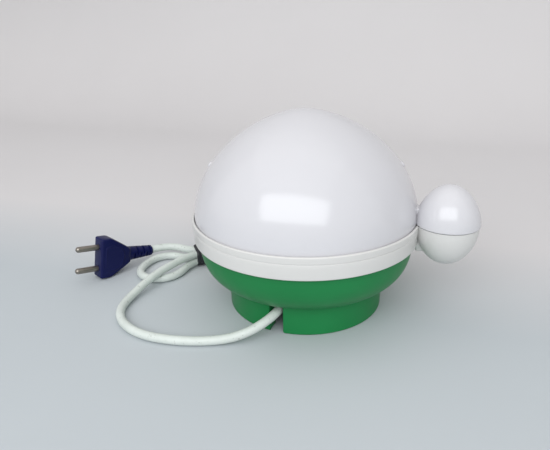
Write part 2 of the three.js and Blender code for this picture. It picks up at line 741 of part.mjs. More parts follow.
function addScrews(prefix, geometry, places, seatZ, upsideDown = false) {
  places.forEach(([x, y], index) => {
    const screw = addPiece(housing, `${prefix}_${index + 1}`, geometry, MATERIALS.zincSteel);
    screw.position.set(x, y, seatZ);
    if (upsideDown) screw.rotation.x = Math.PI;
  });
}

const around = (radius, azimuths) => azimuths.map((azimuth) => polar(radius, azimuth));
const pair = (spacing, x, y) => [-1, 1].map((side) => [x + (side * spacing) / 2, y]);
const ringPlaces = around(RING_SCREW_RADIUS, RING_SCREW_AZIMUTHS);
const shieldPlaces = around(SHIELD_SCREW_RADIUS, SHIELD_SCREW_AZIMUTHS);
const coverPlaces = around(COVER_SCREW_RADIUS, COVER_SCREW_AZIMUTHS);
const clampPlaces = pair(2 * CLAMP_SCREW_OFFSET, RELIEF_X, CLAMP_Y);
addScrews("ring_screw", makeScrew(1.5, 14, 2.9, 1.7), ringPlaces, PAN_FLANGE_Z + PAN_SHEET + GAP);
addScrews("shield_screw", makeScrew(1.2, 5.6, 2.6, 1.3), shieldPlaces, SHIELD_Z + PAN_SHEET + GAP);
addScrews("cover_screw", makeScrew(1.5, 8, 3, 1.6), coverPlaces, EAR_LOW_Z - GAP, true);
addScrews("terminal_screw", makeScrew(1.2, 7, 2.3, 1.2), pair(TERMINAL_SPACING, 0, 4), TERMINAL_TOP_Z + GAP);
addScrews("clamp_screw", makeScrew(0.9, 10.6, 1.9, 1.2), clampPlaces, CLAMP_TOP_Z + GAP);

// ---------------------------------------------------------------- strain relief

const RELIEF_INNER_Y = -21.9; // just short of the jacket inside the cup

// A grooved collar in the cup's notch, then a tapered sleeve that points to -Y.
function makeStrainRelief() {
  const sleeve = [[0, 0], [5.2, 0], [5.2, 1.2], [4.2, 1.3], [4.2, 6.4], [5.2, 6.5], [5.2, 8], [4.3, 8.4]];
  for (let rib = 0; rib < 4; rib += 1) {
    const start = 9.8 + rib * 3.6;
    const radius = 4.3 - rib * 0.15;
    const groove = radius - 0.6;
    sleeve.push([radius, start], [groove, start + 0.4], [groove, start + 1.4], [radius, start + 1.8]);
  }
  const length = RELIEF_INNER_Y - CORD_EXIT_Y;
  sleeve.push([3.65, length], [0, length]);
  return turned(sleeve, 12).rotateX(Math.PI / 2).translate(RELIEF_X, RELIEF_INNER_Y, CORD_EXIT_Z);
}

addPiece(housing, "strain_relief", makeStrainRelief(), MATERIALS.cordWhite);

// ---------------------------------------------------------------- cord route

const BUNDLE_RADIUS = 26.7; // outer turn of the hank's far fold
const FOLD_INNER = 20;
const LOW = 3.4; // cord axis when it lies on the table
const HIGH = 10.4; // cord axis when it lies on another strand
const TIE_POINT = [-126, 32];
const TIE_AZIMUTH = 34;
const HANK_AZIMUTH = 50;
const LEFT_FOLD_X = -151.5;
const LEFT_FOLD_RADIUS = 19;

// From the strain relief, over the table in one wide loop, to the tie.
const RUN = [
  [-24.3, -48.4, 16], [-24.5, -55, 15.8], [-27.2, -62.5, 14.6], [-32.6, -70, 11.6],
  [-41, -76.6, 7.8], [-52, -82, 4.6], [-65, -86.8, LOW], [-80, -91.4, LOW],
  [-96, -93.6, LOW], [-112, -93, LOW], [-127, -88.2, LOW], [-139, -79.6, LOW],
  [-147, -68.6, LOW], [-150.2, -55.5, 3.6], [-149.5, -42, 5.3], [-147, -28.5, 8.1],
  [-143.8, -15, 10], [-140.2, -2, 10.4], [-136.2, 10.4, 10.9], [-130.6, 21.2, 11.3],
  [-126.1, 26.7, 11.4],
];

// From the tie to the plug's boot, over the top of the left fold.
const TAIL = [
  [-125.4, 36.3, 11.4], [-134, 31.6, 11.2], [-143.2, 31.4, 10.7], [-152.6, 35, 10.3],
  [-161.5, 37.8, 10], [-169.3, 34.6, 9.5], [-174.1, 26.2, 9.6],
];

// A point given along and across a line that starts at origin.
function beside([originX, originY], azimuth, along, across, z) {
  const [alongX, alongY] = polar(1, azimuth);
  return [
    originX + along * alongX + across * alongY,
    originY + along * alongY - across * alongX,
    z,
  ];
}

const HANK_START = beside(TIE_POINT, TIE_AZIMUTH, 4, 0, 0).slice(0, 2);
const onHank = (along, across, z) => beside(HANK_START, HANK_AZIMUTH, along, across, z);
const outerNeck = (along) => 25.4 - Math.sqrt(22 ** 2 - (along - 8.4) ** 2);
const innerNeck = (along) => 25.4 - Math.sqrt(28.8 ** 2 - (along - 8.4) ** 2);

// One far fold: out along the outer line, round, and back along the inner line at another height.
function farFold(side, startZ, endZ) {
  const rise = endZ - startZ;
  const points = [11, 19, 26].map((along) => onHank(along, side * outerNeck(along), startZ));
  const turn = [
    [BUNDLE_RADIUS, 130, 0], [BUNDLE_RADIUS, 104, 0], [BUNDLE_RADIUS, 78, 0], [BUNDLE_RADIUS, 52, 0],
    [25.8, 26, 0], [23.4, 0, 0], [21.2, -28, 0.24], [FOLD_INNER, -58, 0.78],
    [FOLD_INNER, -90, 1], [FOLD_INNER, -122, 1],
  ];
  for (const [radius, angle, share] of turn) {
    const [along, across] = polar(radius, angle);
    points.push(onHank(50 + along, side * across, startZ + rise * share));
  }
  for (const along of [32, 24, 15, 8]) points.push(onHank(along, -side * innerNeck(along), endZ));
  return points;
}

function leftFold() {
  const points = [[-126.4, 26.9, 4.7], [-130.6, 20.2, 4.4], [-132.3, 12, 3.7]];
  const lowArc = [0, -30, -60, -90, -120, -150, -180].map((angle) => [angle, 3.5]);
  const highArc = [180, 150, 120, 90].map((angle) => [angle, 14]);
  for (const [angle, middleY] of [...lowArc, ...highArc]) {
    const [x, y] = polar(LEFT_FOLD_RADIUS, angle);
    points.push([LEFT_FOLD_X + x, middleY + y, LOW]);
  }
  points.push([-142.4, 30.4, 3.8], [-134, 30.9, 4.5]);
  return points;
}

const TOP_IN_TIE = [-120.4, 31.4, 11.4];
const LOW_OUT_OF_TIE = [-120.4, 31.4, 4.7];
const LOW_IN_TIE = [-125.4, 36.3, 4.7];
const firstFold = farFold(1, HIGH, LOW);
const loose = leftFold();
const secondFold = farFold(-1, LOW, HIGH);
const ROUTE = [
  ...RUN, TOP_IN_TIE, ...firstFold, LOW_OUT_OF_TIE, ...loose, LOW_IN_TIE, ...secondFold, ...TAIL,
];
const routeCurve = smoothPath(ROUTE);

// The part of the route between two places counted in route points.
class RouteStretch extends THREE.Curve {
  constructor(from, to) {
    super();
    this.from = from / (ROUTE.length - 1);
    this.to = to / (ROUTE.length - 1);
  }

  getPoint(share, target = new THREE.Vector3()) {
    return routeCurve.getPoint(this.from + (this.to - this.from) * share, target);
  }
}

const INTO_HANK = 0.22; // how far past the tie, in route points, each tube goes on
const topInTie = RUN.length;
const lowOutOfTie = topInTie + 1 + firstFold.length;
const lowInTie = lowOutOfTie + 1 + loose.length;
const tailStart = lowInTie + 1 + secondFold.length;
const STRETCHES = {
  cord_run: { from: 0, to: topInTie + INTO_HANK, steps: 34 },
  cord_loop: { from: lowOutOfTie - INTO_HANK, to: lowInTie + INTO_HANK, steps: 32 },
  cord_tail: { from: tailStart - INTO_HANK, to: ROUTE.length - 1, steps: 12 },
};
for (const [name, { from, to, steps }] of Object.entries(STRETCHES)) {
  const tube = tubeGeometry(new RouteStretch(from, to), CORD_RADIUS, steps, CORD_SIDES);
  addPiece(part, name, tube, MATERIALS.cordWhite);
}

// The hank behind the bowl: one plain drop-shaped block of its outer size.
function makeHank() {
  const shape = new THREE.Shape();
  const near = 3.4;
  const half = 7.4;
  const radius = BUNDLE_RADIUS + CORD_RADIUS + 0.2;
  const joinAngle = THREE.MathUtils.degToRad(125);
  shape.moveTo(near, -half);
  shape.lineTo(near + 14, -half - 1.5);
  shape.lineTo(50 + radius * Math.cos(joinAngle), -radius * Math.sin(joinAngle));
  shape.absarc(50, 0, radius, -joinAngle, joinAngle, false);
  shape.lineTo(near + 14, half + 1.5);
  shape.lineTo(near, half);
  shape.closePath();
  const height = HIGH + CORD_RADIUS + 0.4;
  const hank = new THREE.ExtrudeGeometry(shape, { depth: height, bevelEnabled: false, curveSegments: 20 });
  hank.rotateZ(THREE.MathUtils.degToRad(HANK_AZIMUTH));
  return hank.translate(...HANK_START, 0);
}

addPiece(part, "cord_hank", makeHank(), MATERIALS.cordWhite);

// The tie: a flat band round the four strands.
function makeTie() {
  const lowSide = -9;
  const highSide = 8.2;
  const inner = block(-7, 5, lowSide, highSide, 1.1, 15);
  const band = block(-6, 4, lowSide - 1.2, highSide + 1.2, 0, 16.2);
  const tie = geometryOf(band.subtract(inner));
  tie.rotateZ(THREE.MathUtils.degToRad(TIE_AZIMUTH));
  return tie.translate(...TIE_POINT, 0);
}

addPiece(part, "cord_tie", makeTie(), MATERIALS.tieBlack);

// ---------------------------------------------------------------- plug

// The plug's own frame: X from the pins to the boot, Y up its broad face, Z out of the broad face.
const PLUG_AZIMUTH = 62;
const PLUG_DIP = 10.3;
const PLUG_HEIGHT = 35.3;
const PLUG_THICKNESS = 13.7;
const PLUG_STRAIGHT = 9;
const PLUG_LENGTH = 28;
const PLUG_NECK = 6.5; // half its height where the boot begins
const PIN_SPACING = 19;
const PIN_RADIUS = 2.5;
const PIN_LENGTH = 20;
const BOOT_END = 52;
const BOOT_TIP = [-174.5, 25.5, 9.7]; // where the cord enters the boot

const plug = new THREE.Group();
const plugAlong = new THREE.Vector3(1, 0, 0).applyEuler(
  new THREE.Euler(0, THREE.MathUtils.degToRad(PLUG_DIP), THREE.MathUtils.degToRad(PLUG_AZIMUTH), "ZYX"),
);
const plugOut = new THREE.Vector3(...polar(1, PLUG_AZIMUTH - 90), 0);
const plugUp = new THREE.Vector3().crossVectors(plugOut, plugAlong);
plug.quaternion.setFromRotationMatrix(new THREE.Matrix4().makeBasis(plugAlong, plugUp, plugOut));
plug.position.set(...BOOT_TIP).addScaledVector(plugAlong, -BOOT_END);
part.add(plug);

function makePlugBody() {
  const half = PLUG_HEIGHT / 2;
  const shape = new THREE.Shape();
  shape.moveTo(0, -half + 2);
  shape.quadraticCurveTo(0.2, -half, 2, -half);
  shape.lineTo(PLUG_STRAIGHT - 1.5, -half);
  shape.quadraticCurveTo(PLUG_STRAIGHT, -half, PLUG_STRAIGHT + 1.6, -half + 1);
  shape.lineTo(PLUG_LENGTH, -PLUG_NECK);
  shape.lineTo(PLUG_LENGTH, PLUG_NECK);
  shape.lineTo(PLUG_STRAIGHT + 1.6, half - 1);
  shape.quadraticCurveTo(PLUG_STRAIGHT, half, PLUG_STRAIGHT - 1.5, half);
  shape.lineTo(2, half);
  shape.quadraticCurveTo(0.2, half, 0, half - 2);
  shape.closePath();
  const bevel = 1.5;
  return new THREE.ExtrudeGeometry(shape, {
    depth: PLUG_THICKNESS - 2 * bevel,
    bevelThickness: bevel,
    bevelSize: bevel,
    bevelOffset: -bevel,
    bevelSegments: 2,
    curveSegments: 4,
  }).translate(0, 0, -PLUG_THICKNESS / 2 + bevel);
}

addPiece(plug, "plug_body", makePlugBody(), MATERIALS.plugBlue);

function makePin() {
  const pin = turned(
    [
      [0, GAP], [PIN_RADIUS, GAP], [PIN_RADIUS, PIN_LENGTH - 1.6],
      [PIN_RADIUS * 0.75, PIN_LENGTH - 0.4], [PIN_RADIUS * 0.3, PIN_LENGTH], [0, PIN_LENGTH],
    ],
    16,
  );
  return pin.rotateY(-Math.PI / 2);
}

[1, -1].forEach((side, index) => {
  const pin = addPiece(plug, `plug_pin_${index + 1}`, makePin(), MATERIALS.pinNickel);
  pin.position.y = (side * PIN_SPACING) / 2;
});

function makeBoot() {
  const profile = [[0, PLUG_LENGTH + GAP], [6.3, PLUG_LENGTH + GAP]];
  for (let ring = 0; ring < 4; ring += 1) {
    const start = PLUG_LENGTH + 2 + ring * 5;
    const radius = 6.1 - ring * 0.35;
    profile.push([radius, start], [radius - 1, start + 0.6]);
    profile.push([radius - 1, start + 2.2], [radius - 0.2, start + 2.8]);
  }
  profile.push([4.5, BOOT_END], [0, BOOT_END]);
  return turned(profile, 16).rotateY(Math.PI / 2);
}

addPiece(plug, "plug_boot", makeBoot(), MATERIALS.plugBlue);

export default part;
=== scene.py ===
# Looks of the round tabletop egg incubator. Metres, in the CAD model's frame: +Z up,
# +X from the round housing to the half-egg lug, -Y the side the cord leaves from.
import json
import math

import bmesh
import bpy
from mathutils import Matrix, Vector


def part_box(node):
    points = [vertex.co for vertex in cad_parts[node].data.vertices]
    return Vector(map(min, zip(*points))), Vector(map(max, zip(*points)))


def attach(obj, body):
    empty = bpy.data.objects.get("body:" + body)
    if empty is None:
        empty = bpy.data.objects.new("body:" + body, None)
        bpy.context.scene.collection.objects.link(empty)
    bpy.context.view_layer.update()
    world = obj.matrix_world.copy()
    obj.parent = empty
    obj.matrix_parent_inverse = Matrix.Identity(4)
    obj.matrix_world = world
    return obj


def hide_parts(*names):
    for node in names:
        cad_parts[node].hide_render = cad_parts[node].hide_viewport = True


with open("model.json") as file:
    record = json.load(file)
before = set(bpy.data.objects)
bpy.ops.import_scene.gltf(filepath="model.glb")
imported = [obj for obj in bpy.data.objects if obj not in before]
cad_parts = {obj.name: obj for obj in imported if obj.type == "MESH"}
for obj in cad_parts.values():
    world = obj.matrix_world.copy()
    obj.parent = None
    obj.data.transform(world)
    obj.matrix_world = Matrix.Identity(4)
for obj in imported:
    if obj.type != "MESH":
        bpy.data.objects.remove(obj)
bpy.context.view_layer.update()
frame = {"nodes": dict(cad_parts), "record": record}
nodes = frame["nodes"]
scene = bpy.context.scene
MM = 0.001

# ---------------------------------------------------------------- sizes, in millimetres

bowl_low, bowl_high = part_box("base_bowl")
AXIS_X = (bowl_low.x + bowl_high.x) / 2 / MM
ring_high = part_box("rim_ring")[1]
RING_RADIUS = ring_high.y / MM
LIP_Z = ring_high.z / MM
lid_low, lid_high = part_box("lid_dome")
LID_SKIRT_Z = lid_low.z / MM
LID_RADIUS = lid_high.y / MM
LID_RISE = lid_high.z / MM - LIP_Z
LID_HEIGHT_POWER = 1.8945
LID_RADIUS_POWER = 0.5945
LID_WALL = 2
VENT_RISE = 36
LUG_OFFSET = 103
LUG_TOP_RADIUS = lid_high.x / MM - AXIS_X - LUG_OFFSET
LUG_TOP_RISE = 28
LUG_LOW_RADIUS = 21.6
LUG_LOW_DROP = 29.5
LUG_LOW_TOP = LIP_Z - 0.35
LUG_WALL = 2
GAP = 0.3
BOWL_RADIUS = bowl_high.y / MM
BOWL_TURN_Z = 59.1
BOWL_DEPTH = 43.64
BOWL_HEIGHT_POWER = 3.016
BOWL_RADIUS_POWER = 0.306
BOWL_WALL = 2.4
BOWL_TOP_Z = bowl_high.z / MM
FLOOR_Z = 21.5
FLOOR_TOP_Z = 24
FLOOR_OPENING = 24
FOOT_RADIUS = 59
FOOT_WALL = 3
SLOT_AZIMUTH = -95.3
SLOT_HALF_WIDTH = 5
CORD_DIAMETER = 6.5
EASING_PASSES = 8

# ---------------------------------------------------------------- camera


def place_camera():
    data = bpy.data.cameras.new("camera")
    data.lens = 35.1
    data.sensor_width = 36
    camera = bpy.data.objects.new("camera", data)
    scene.collection.objects.link(camera)
    azimuth = math.atan2(0.949, -0.317)
    dip = math.radians(21.57)
    roll = math.radians(-1.24)
    forward = Vector(
        (math.cos(azimuth) * math.cos(dip), math.sin(azimuth) * math.cos(dip), -math.sin(dip))
    )
    level_right = forward.cross(Vector((0, 0, 1))).normalized()
    level_up = level_right.cross(forward)
    right = level_right * math.cos(roll) + level_up * math.sin(roll)
    up = right.cross(forward)
    turn = Matrix((right, up, -forward)).transposed().to_4x4()
    camera.matrix_world = Matrix.Translation(Vector((78.8, -368.7, 211.3)) * MM) @ turn
    scene.camera = camera


place_camera()

# ---------------------------------------------------------------- material nodes


class Nodes:
    """A material's node tree, with short calls for the nodes that the materials share."""

    def __init__(self, name):
        self.material = bpy.data.materials.new(name)
        self.material.use_nodes = True
        self.tree = self.material.node_tree
        self.shader = self.tree.nodes["Principled BSDF"]
        self.coordinates = self.add("ShaderNodeTexCoord").outputs["Object"]

    def add(self, kind, **settings):
        node = self.tree.nodes.new(kind)
        for name, value in settings.items():
            setattr(node, name, value)
        return node

    def link(self, source, target):
        self.tree.links.new(source, target)

    def set(self, **values):
        for name, value in values.items():
            self.shader.inputs[name.replace("_", " ")].default_value = value

    def noise(self, scale, detail=3, stretch=(1, 1, 1), source=None):
        mapping = self.add("ShaderNodeMapping")
        mapping.inputs["Scale"].default_value = stretch
        self.link(source or self.coordinates, mapping.inputs["Vector"])
        noise = self.add("ShaderNodeTexNoise")
        noise.inputs["Scale"].default_value = scale
        noise.inputs["Detail"].default_value = detail
        self.link(mapping.outputs["Vector"], noise.inputs["Vector"])
        return noise.outputs["Fac"]

    def ramp(self, source, stops):
        ramp = self.add("ShaderNodeValToRGB")
        elements = ramp.color_ramp.elements
        while len(elements) < len(stops):
            elements.new(0.5)
        for element, (place, color) in zip(elements, stops):
            element.position = place
            element.color = (*color, 1)
        self.link(source, ramp.inputs["Fac"])
        return ramp.outputs["Color"]

    def mix(self, factor, first, second, kind="MIX"):
        mix = self.add("ShaderNodeMix", data_type="RGBA", blend_type=kind)
        if isinstance(factor, float):
            mix.inputs["Factor"].default_value = factor
        else:
            self.link(factor, mix.inputs["Factor"])
        self.link(first, mix.inputs["A"])
        self.link(second, mix.inputs["B"])
        return mix.outputs["Result"]

    def math(self, operation, first, second):
        math_node = self.add("ShaderNodeMath", operation=operation)
        for socket, value in zip(math_node.inputs, (first, second)):
            if isinstance(value, (int, float)):
                socket.default_value = value
            else:
                self.link(value, socket)
        return math_node.outputs["Value"]

    def span(self, source, low, high, to_low, to_high):
        span = self.add("ShaderNodeMapRange")
        limits = {"From Min": low, "From Max": high, "To Min": to_low, "To Max": to_high}
        for name, value in limits.items():
            span.inputs[name].default_value = value
        self.link(source, span.inputs["Value"])
        return span.outputs["Result"]

    def color(self, source):
        self.link(source, self.shader.inputs["Base Color"])

    def roughness(self, source, low, high):
        self.link(self.span(source, 0.3, 0.7, low, high), self.shader.inputs["Roughness"])

    def bump(self, heights, distance):
        previous = None
        for height, strength in heights:
            bump = self.add("ShaderNodeBump")
            bump.inputs["Strength"].default_value = strength
            bump.inputs["Distance"].default_value = distance
            self.link(height, bump.inputs["Height"])
            if previous:
                self.link(previous, bump.inputs["Normal"])
            previous = bump.outputs["Normal"]
        self.link(previous, self.shader.inputs["Normal"])


def moulded(name, dark, light, low, high, grain=900, grain_strength=0.05, specular=0.5):
    """Moulded plastic: slow drifts of colour, uneven gloss and a fine grain."""
    made = Nodes(name)
    drift = made.noise(9, 4)
    made.color(made.ramp(drift, [(0.3, dark), (0.72, light)]))
    made.roughness(made.noise(34, 5), low, high)
    made.bump([(made.noise(grain, 2), grain_strength), (made.noise(26, 3), 0.04)], 0.0004)
    made.set(Specular_IOR_Level=specular)
    return made.material


def sheet_metal(name, dark, light, low, high, stretch=(1, 1, 1)):
    """Bare metal with fine directional lines and duller patches."""
    made = Nodes(name)
    lines = made.noise(420, 3, stretch)
    made.color(made.ramp(made.noise(18, 4), [(0.3, dark), (0.7, light)]))
    made.roughness(made.noise(30, 6), low, high)
    made.bump([(lines, 0.06)], 0.0002)
    made.set(Metallic=1.0)
    return made.material


def spun_metal(name, dark, light, low, high):
    """Sheet spun on a lathe: rings round the housing axis."""
    made = Nodes(name)
    moved = made.add("ShaderNodeVectorMath", operation="SUBTRACT")
    moved.inputs[1].default_value = (AXIS_X * MM, 0, 0)
    made.link(made.coordinates, moved.inputs[0])
    split = made.add("ShaderNodeSeparateXYZ")
    made.link(moved.outputs["Vector"], split.inputs["Vector"])
    square_x = made.math("MULTIPLY", split.outputs["X"], split.outputs["X"])
    square_y = made.math("MULTIPLY", split.outputs["Y"], split.outputs["Y"])
    radius = made.math("SQRT", made.math("ADD", square_x, square_y), 0)
    join = made.add("ShaderNodeCombineXYZ")
    made.link(radius, join.inputs["X"])
    made.link(split.outputs["Z"], join.inputs["Z"])
    rings = made.noise(1500, 3, source=join.outputs["Vector"])
    made.color(made.ramp(made.noise(14, 4), [(0.3, dark), (0.7, light)]))
    made.roughness(rings, low, high)
    made.bump([(rings, 0.08)], 0.0002)
    made.set(Metallic=1.0)
    return made.material


def lid_gloss():
    """Glossy moulded white with a lavender tint that deepens in slow drifts."""
    made = Nodes("lid_gloss_white")
    tint = [(0.25, (0.60, 0.598, 0.625)), (0.75, (0.645, 0.64, 0.665))]
    made.color(made.ramp(made.noise(7, 3), tint))
    made.roughness(made.noise(22, 5), 0.15, 0.22)
    made.bump([(made.noise(30, 2), 0.05), (made.noise(1400, 2), 0.012)], 0.0005)
    made.set(Coat_Weight=0.2, Coat_Roughness=0.1)
    return made.material


def cord_pvc():
    """Soft off-white jacket with fine grey specks and a few small brown marks."""
    made = Nodes("cord_pvc")
    base = made.ramp(made.noise(70, 5), [(0.3, (0.57, 0.62, 0.585)), (0.65, (0.66, 0.71, 0.675))])
    specks = made.ramp(made.noise(420, 4), [(0.30, (0.62, 0.62, 0.60)), (0.37, (1, 1, 1))])
    marks = made.ramp(made.noise(75, 2), [(0.225, (0.45, 0.35, 0.25)), (0.25, (1, 1, 1))])
    speckled = made.mix(0.6, base, specks, "MULTIPLY")
    made.color(made.mix(0.8, speckled, marks, "MULTIPLY"))
    made.roughness(made.noise(120, 4), 0.38, 0.55)
    made.bump([(made.noise(500, 3), 0.1), (made.noise(60, 3), 0.08)], 0.0004)
    return made.material


MATERIALS = {
    "lid_gloss_white": lid_gloss(),
    "ring_satin_white": moulded(
        "ring_satin_white", (0.63, 0.625, 0.61), (0.69, 0.685, 0.67), 0.30, 0.42,
        grain_strength=0.04,
    ),
    "bowl_green": moulded(
        "bowl_green", (0.006, 0.165, 0.042), (0.011, 0.215, 0.06), 0.33, 0.46, specular=0.3
    ),
    "tray_ivory": moulded("tray_ivory", (0.66, 0.62, 0.50), (0.74, 0.70, 0.58), 0.38, 0.5),
    "pan_stainless": spun_metal(
        "pan_stainless", (0.46, 0.46, 0.46), (0.58, 0.58, 0.58), 0.16, 0.34
    ),
    "zinc_steel": sheet_metal("zinc_steel", (0.42, 0.43, 0.44), (0.58, 0.59, 0.60), 0.25, 0.42),
    "element_sheath": sheet_metal(
        "element_sheath", (0.14, 0.13, 0.12), (0.28, 0.26, 0.24), 0.35, 0.5
    ),
    "bright_aluminium": sheet_metal(
        "bright_aluminium", (0.52, 0.53, 0.54), (0.66, 0.67, 0.68), 0.28, 0.42, (1, 12, 1)
    ),
    "gasket_silicone": moulded(
        "gasket_silicone", (0.30, 0.05, 0.025), (0.40, 0.08, 0.04), 0.5, 0.65
    ),
    "phenolic_black": moulded(
        "phenolic_black", (0.018, 0.013, 0.011), (0.04, 0.03, 0.025), 0.35, 0.5
    ),
    "terminal_nylon": moulded("terminal_nylon", (0.62, 0.60, 0.52), (0.74, 0.72, 0.64), 0.35, 0.5),
    "lead_red": moulded("lead_red", (0.22, 0.02, 0.015), (0.32, 0.035, 0.025), 0.4, 0.55),
    "lead_blue": moulded("lead_blue", (0.02, 0.055, 0.22), (0.035, 0.09, 0.32), 0.4, 0.55),
    "lead_white": moulded("lead_white", (0.55, 0.53, 0.47), (0.7, 0.68, 0.62), 0.45, 0.6),
    "cord_pvc": cord_pvc(),
    "tie_black": moulded(
        "tie_black", (0.006, 0.007, 0.009), (0.018, 0.02, 0.026), 0.38, 0.6, 300, 0.25
    ),
    "plug_blue": moulded(
        "plug_blue", (0.0025, 0.0045, 0.05), (0.005, 0.009, 0.085), 0.34, 0.48, specular=0.22
    ),
    "pin_nickel": sheet_metal("pin_nickel", (0.17, 0.15, 0.13), (0.40, 0.37, 0.33), 0.22, 0.38),
}

SLOT_OF = {row["node"]: row["material_slot"] for row in frame["record"]["subparts"]}

# ---------------------------------------------------------------- making and finishing pieces


def new_piece(name, mesh, slot, body, *replaced):
    piece = bpy.data.objects.new(name, mesh)
    scene.collection.objects.link(piece)
    piece.data.materials.clear()
    piece.data.materials.append(MATERIALS[slot])
    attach(piece, body)
    if replaced:
        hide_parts(*replaced)
    return piece


def soften(mesh, sharp_degrees=38):
    """Smooth faces, with sharp edges where the surface turns by more than the angle."""
    made = bmesh.new()
    made.from_mesh(mesh)
    bmesh.ops.remove_doubles(made, verts=made.verts, dist=0.002 * MM)
    bmesh.ops.recalc_face_normals(made, faces=made.faces)
    for face in made.faces:
        face.smooth = True
    for edge in made.edges:
        if len(edge.link_faces) == 2:
            edge.smooth = edge.calc_face_angle() < math.radians(sharp_degrees)
    made.to_mesh(mesh)
    made.free()
    return mesh


def mesh_of(name, points, faces, sharp_degrees=38):
    mesh = bpy.data.meshes.new(name)
    mesh.from_pydata([Vector(point) * MM for point in points], [], faces)
    return soften(mesh, sharp_degrees)


def arc_points(middle, radius, start, end, steps):
    """Points on an arc in a profile, from one angle to another in degrees."""
    points = []
    for step in range(steps + 1):
        angle = math.radians(start + (end - start) * step / steps)
        points.append((middle[0] + radius * math.cos(angle), middle[1] + radius * math.sin(angle)))
    return points


def turned(name, profile, middle=(AXIS_X, 0), closed=False, facets=160, sharp_degrees=38):
    """A profile of (radius, z) pairs turned about a vertical axis, closed on itself if asked."""
    points = []
    for step in range(facets):
        angle = 2 * math.pi * step / facets
        for radius, z in profile:
            points.append(
                (middle[0] + radius * math.cos(angle), middle[1] + radius * math.sin(angle), z)
            )
    rows = len(profile)
    faces = []
    for step in range(facets):
        here = step * rows
        there = (step + 1) % facets * rows
        for row in range(rows if closed else rows - 1):
            after = (row + 1) % rows
            faces.append((here + row, there + row, there + after, here + after))
    return mesh_of(name, points, faces, sharp_degrees)


def lofted(name, sections, closed_ends=True, sharp_degrees=38):
    """A skin through closed sections that all have as many points."""
    count = len(sections[0])
    points = [point for section in sections for point in section]
    faces = []
    for index in range(len(sections) - 1):
        for side in range(count):
            after = (side + 1) % count
            here = index * count
            faces.append((here + side, here + after, here + count + after, here + count + side))
    if closed_ends:
        faces.append(tuple(reversed(range(count))))
        faces.append(tuple(range(len(points) - count, len(points))))
    return mesh_of(name, points, faces, sharp_degrees)


def rounded_block(name, low, high, bevel, slot, body, turn=0, middle=(0, 0)):
    """A moulded block with rounded edges, turned about a vertical axis through middle."""
    made = bmesh.new()
    bmesh.ops.create_cube(made, size=1)
    size = Vector(high) - Vector(low)
    centre = (Vector(high) + Vector(low)) / 2
    for vert in made.verts:
        vert.co = Vector([vert.co[axis] * size[axis] + centre[axis] for axis in range(3)])
    bmesh.ops.bevel(
        made, geom=made.edges, offset=bevel, segments=3, profile=0.5, affect="EDGES",
        clamp_overlap=True,
    )
    place = Matrix.Translation((*middle, 0)) @ Matrix.Rotation(math.radians(turn), 4, "Z")
    bmesh.ops.transform(made, matrix=Matrix.Scale(MM, 4) @ place, verts=made.verts)
    mesh = bpy.data.meshes.new(name)
    made.to_mesh(mesh)
    made.free()
    return new_piece(name, soften(mesh, 50), slot, body)


def polar(radius, degrees):
    angle = math.radians(degrees)
    return radius * math.cos(angle), radius * math.sin(angle)


# ---------------------------------------------------------------- cord route

LOW = 3.4
HIGH = 10.4
TIE_POINT = (-126, 32)
TIE_AZIMUTH = 34
HANK_AZIMUTH = 50
LEFT_FOLD_X = -151.5
LEFT_FOLD_RADIUS = 19
BUNDLE_RADIUS = 26.7
FOLD_INNER = 20

RUN = [
    (-24.3, -48.4, 16), (-24.5, -55, 15.8), (-27.2, -62.5, 14.6), (-32.6, -70, 11.6),
    (-41, -76.6, 7.8), (-52, -82, 4.6), (-65, -86.8, LOW), (-80, -91.4, LOW),
    (-96, -93.6, LOW), (-112, -93, LOW), (-127, -88.2, LOW), (-139, -79.6, LOW),
    (-147, -68.6, LOW), (-150.2, -55.5, 3.6), (-149.5, -42, 5.3), (-147, -28.5, 8.1),
    (-143.8, -15, 10), (-140.2, -2, 10.4), (-136.2, 10.4, 10.9), (-130.6, 21.2, 11.3),
    (-126.1, 26.7, 11.4),
]
TIE_END = (-125.4, 36.3, 11.4)
BOOT_MOUTH = (-174.1, 26.2, 9.6)
TAIL_RADIUS = 21.3
TAIL_FAR_MIDDLE = (-155.7, 15.5)
TAIL_NEAR_MIDDLE = (-137.3, 54.0)


def tail():
    """From the tie to the boot on two equal arcs that meet halfway and bend opposite ways."""
    near = arc_points(TAIL_NEAR_MIDDLE, TAIL_RADIUS, -71, -115.5, 3)
    far = arc_points(TAIL_FAR_MIDDLE, TAIL_RADIUS, 64.4, 143, 5)[1:]
    flat = near + far
    drop = TIE_END[2] - BOOT_MOUTH[2]
    points = [TIE_END]
    for index, (x, y) in enumerate(flat):
        points.append((x, y, TIE_END[2] - drop * (index + 1) / (len(flat) + 1)))
    return points + [BOOT_MOUTH]


def beside(origin, azimuth, along, across, z):
    """A point given along and across a line that starts at origin."""
    along_x, along_y = polar(1, azimuth)
    return (
        origin[0] + along * along_x + across * along_y,
        origin[1] + along * along_y - across * along_x,
        z,
    )


HANK_START = beside(TIE_POINT, TIE_AZIMUTH, 4, 0, 0)[:2]


def on_hank(along, across, z):
    return beside(HANK_START, HANK_AZIMUTH, along, across, z)


def outer_neck(along):
    return 25.4 - math.sqrt(22**2 - (along - 8.4) ** 2)


def inner_neck(along):
    return 25.4 - math.sqrt(28.8**2 - (along - 8.4) ** 2)


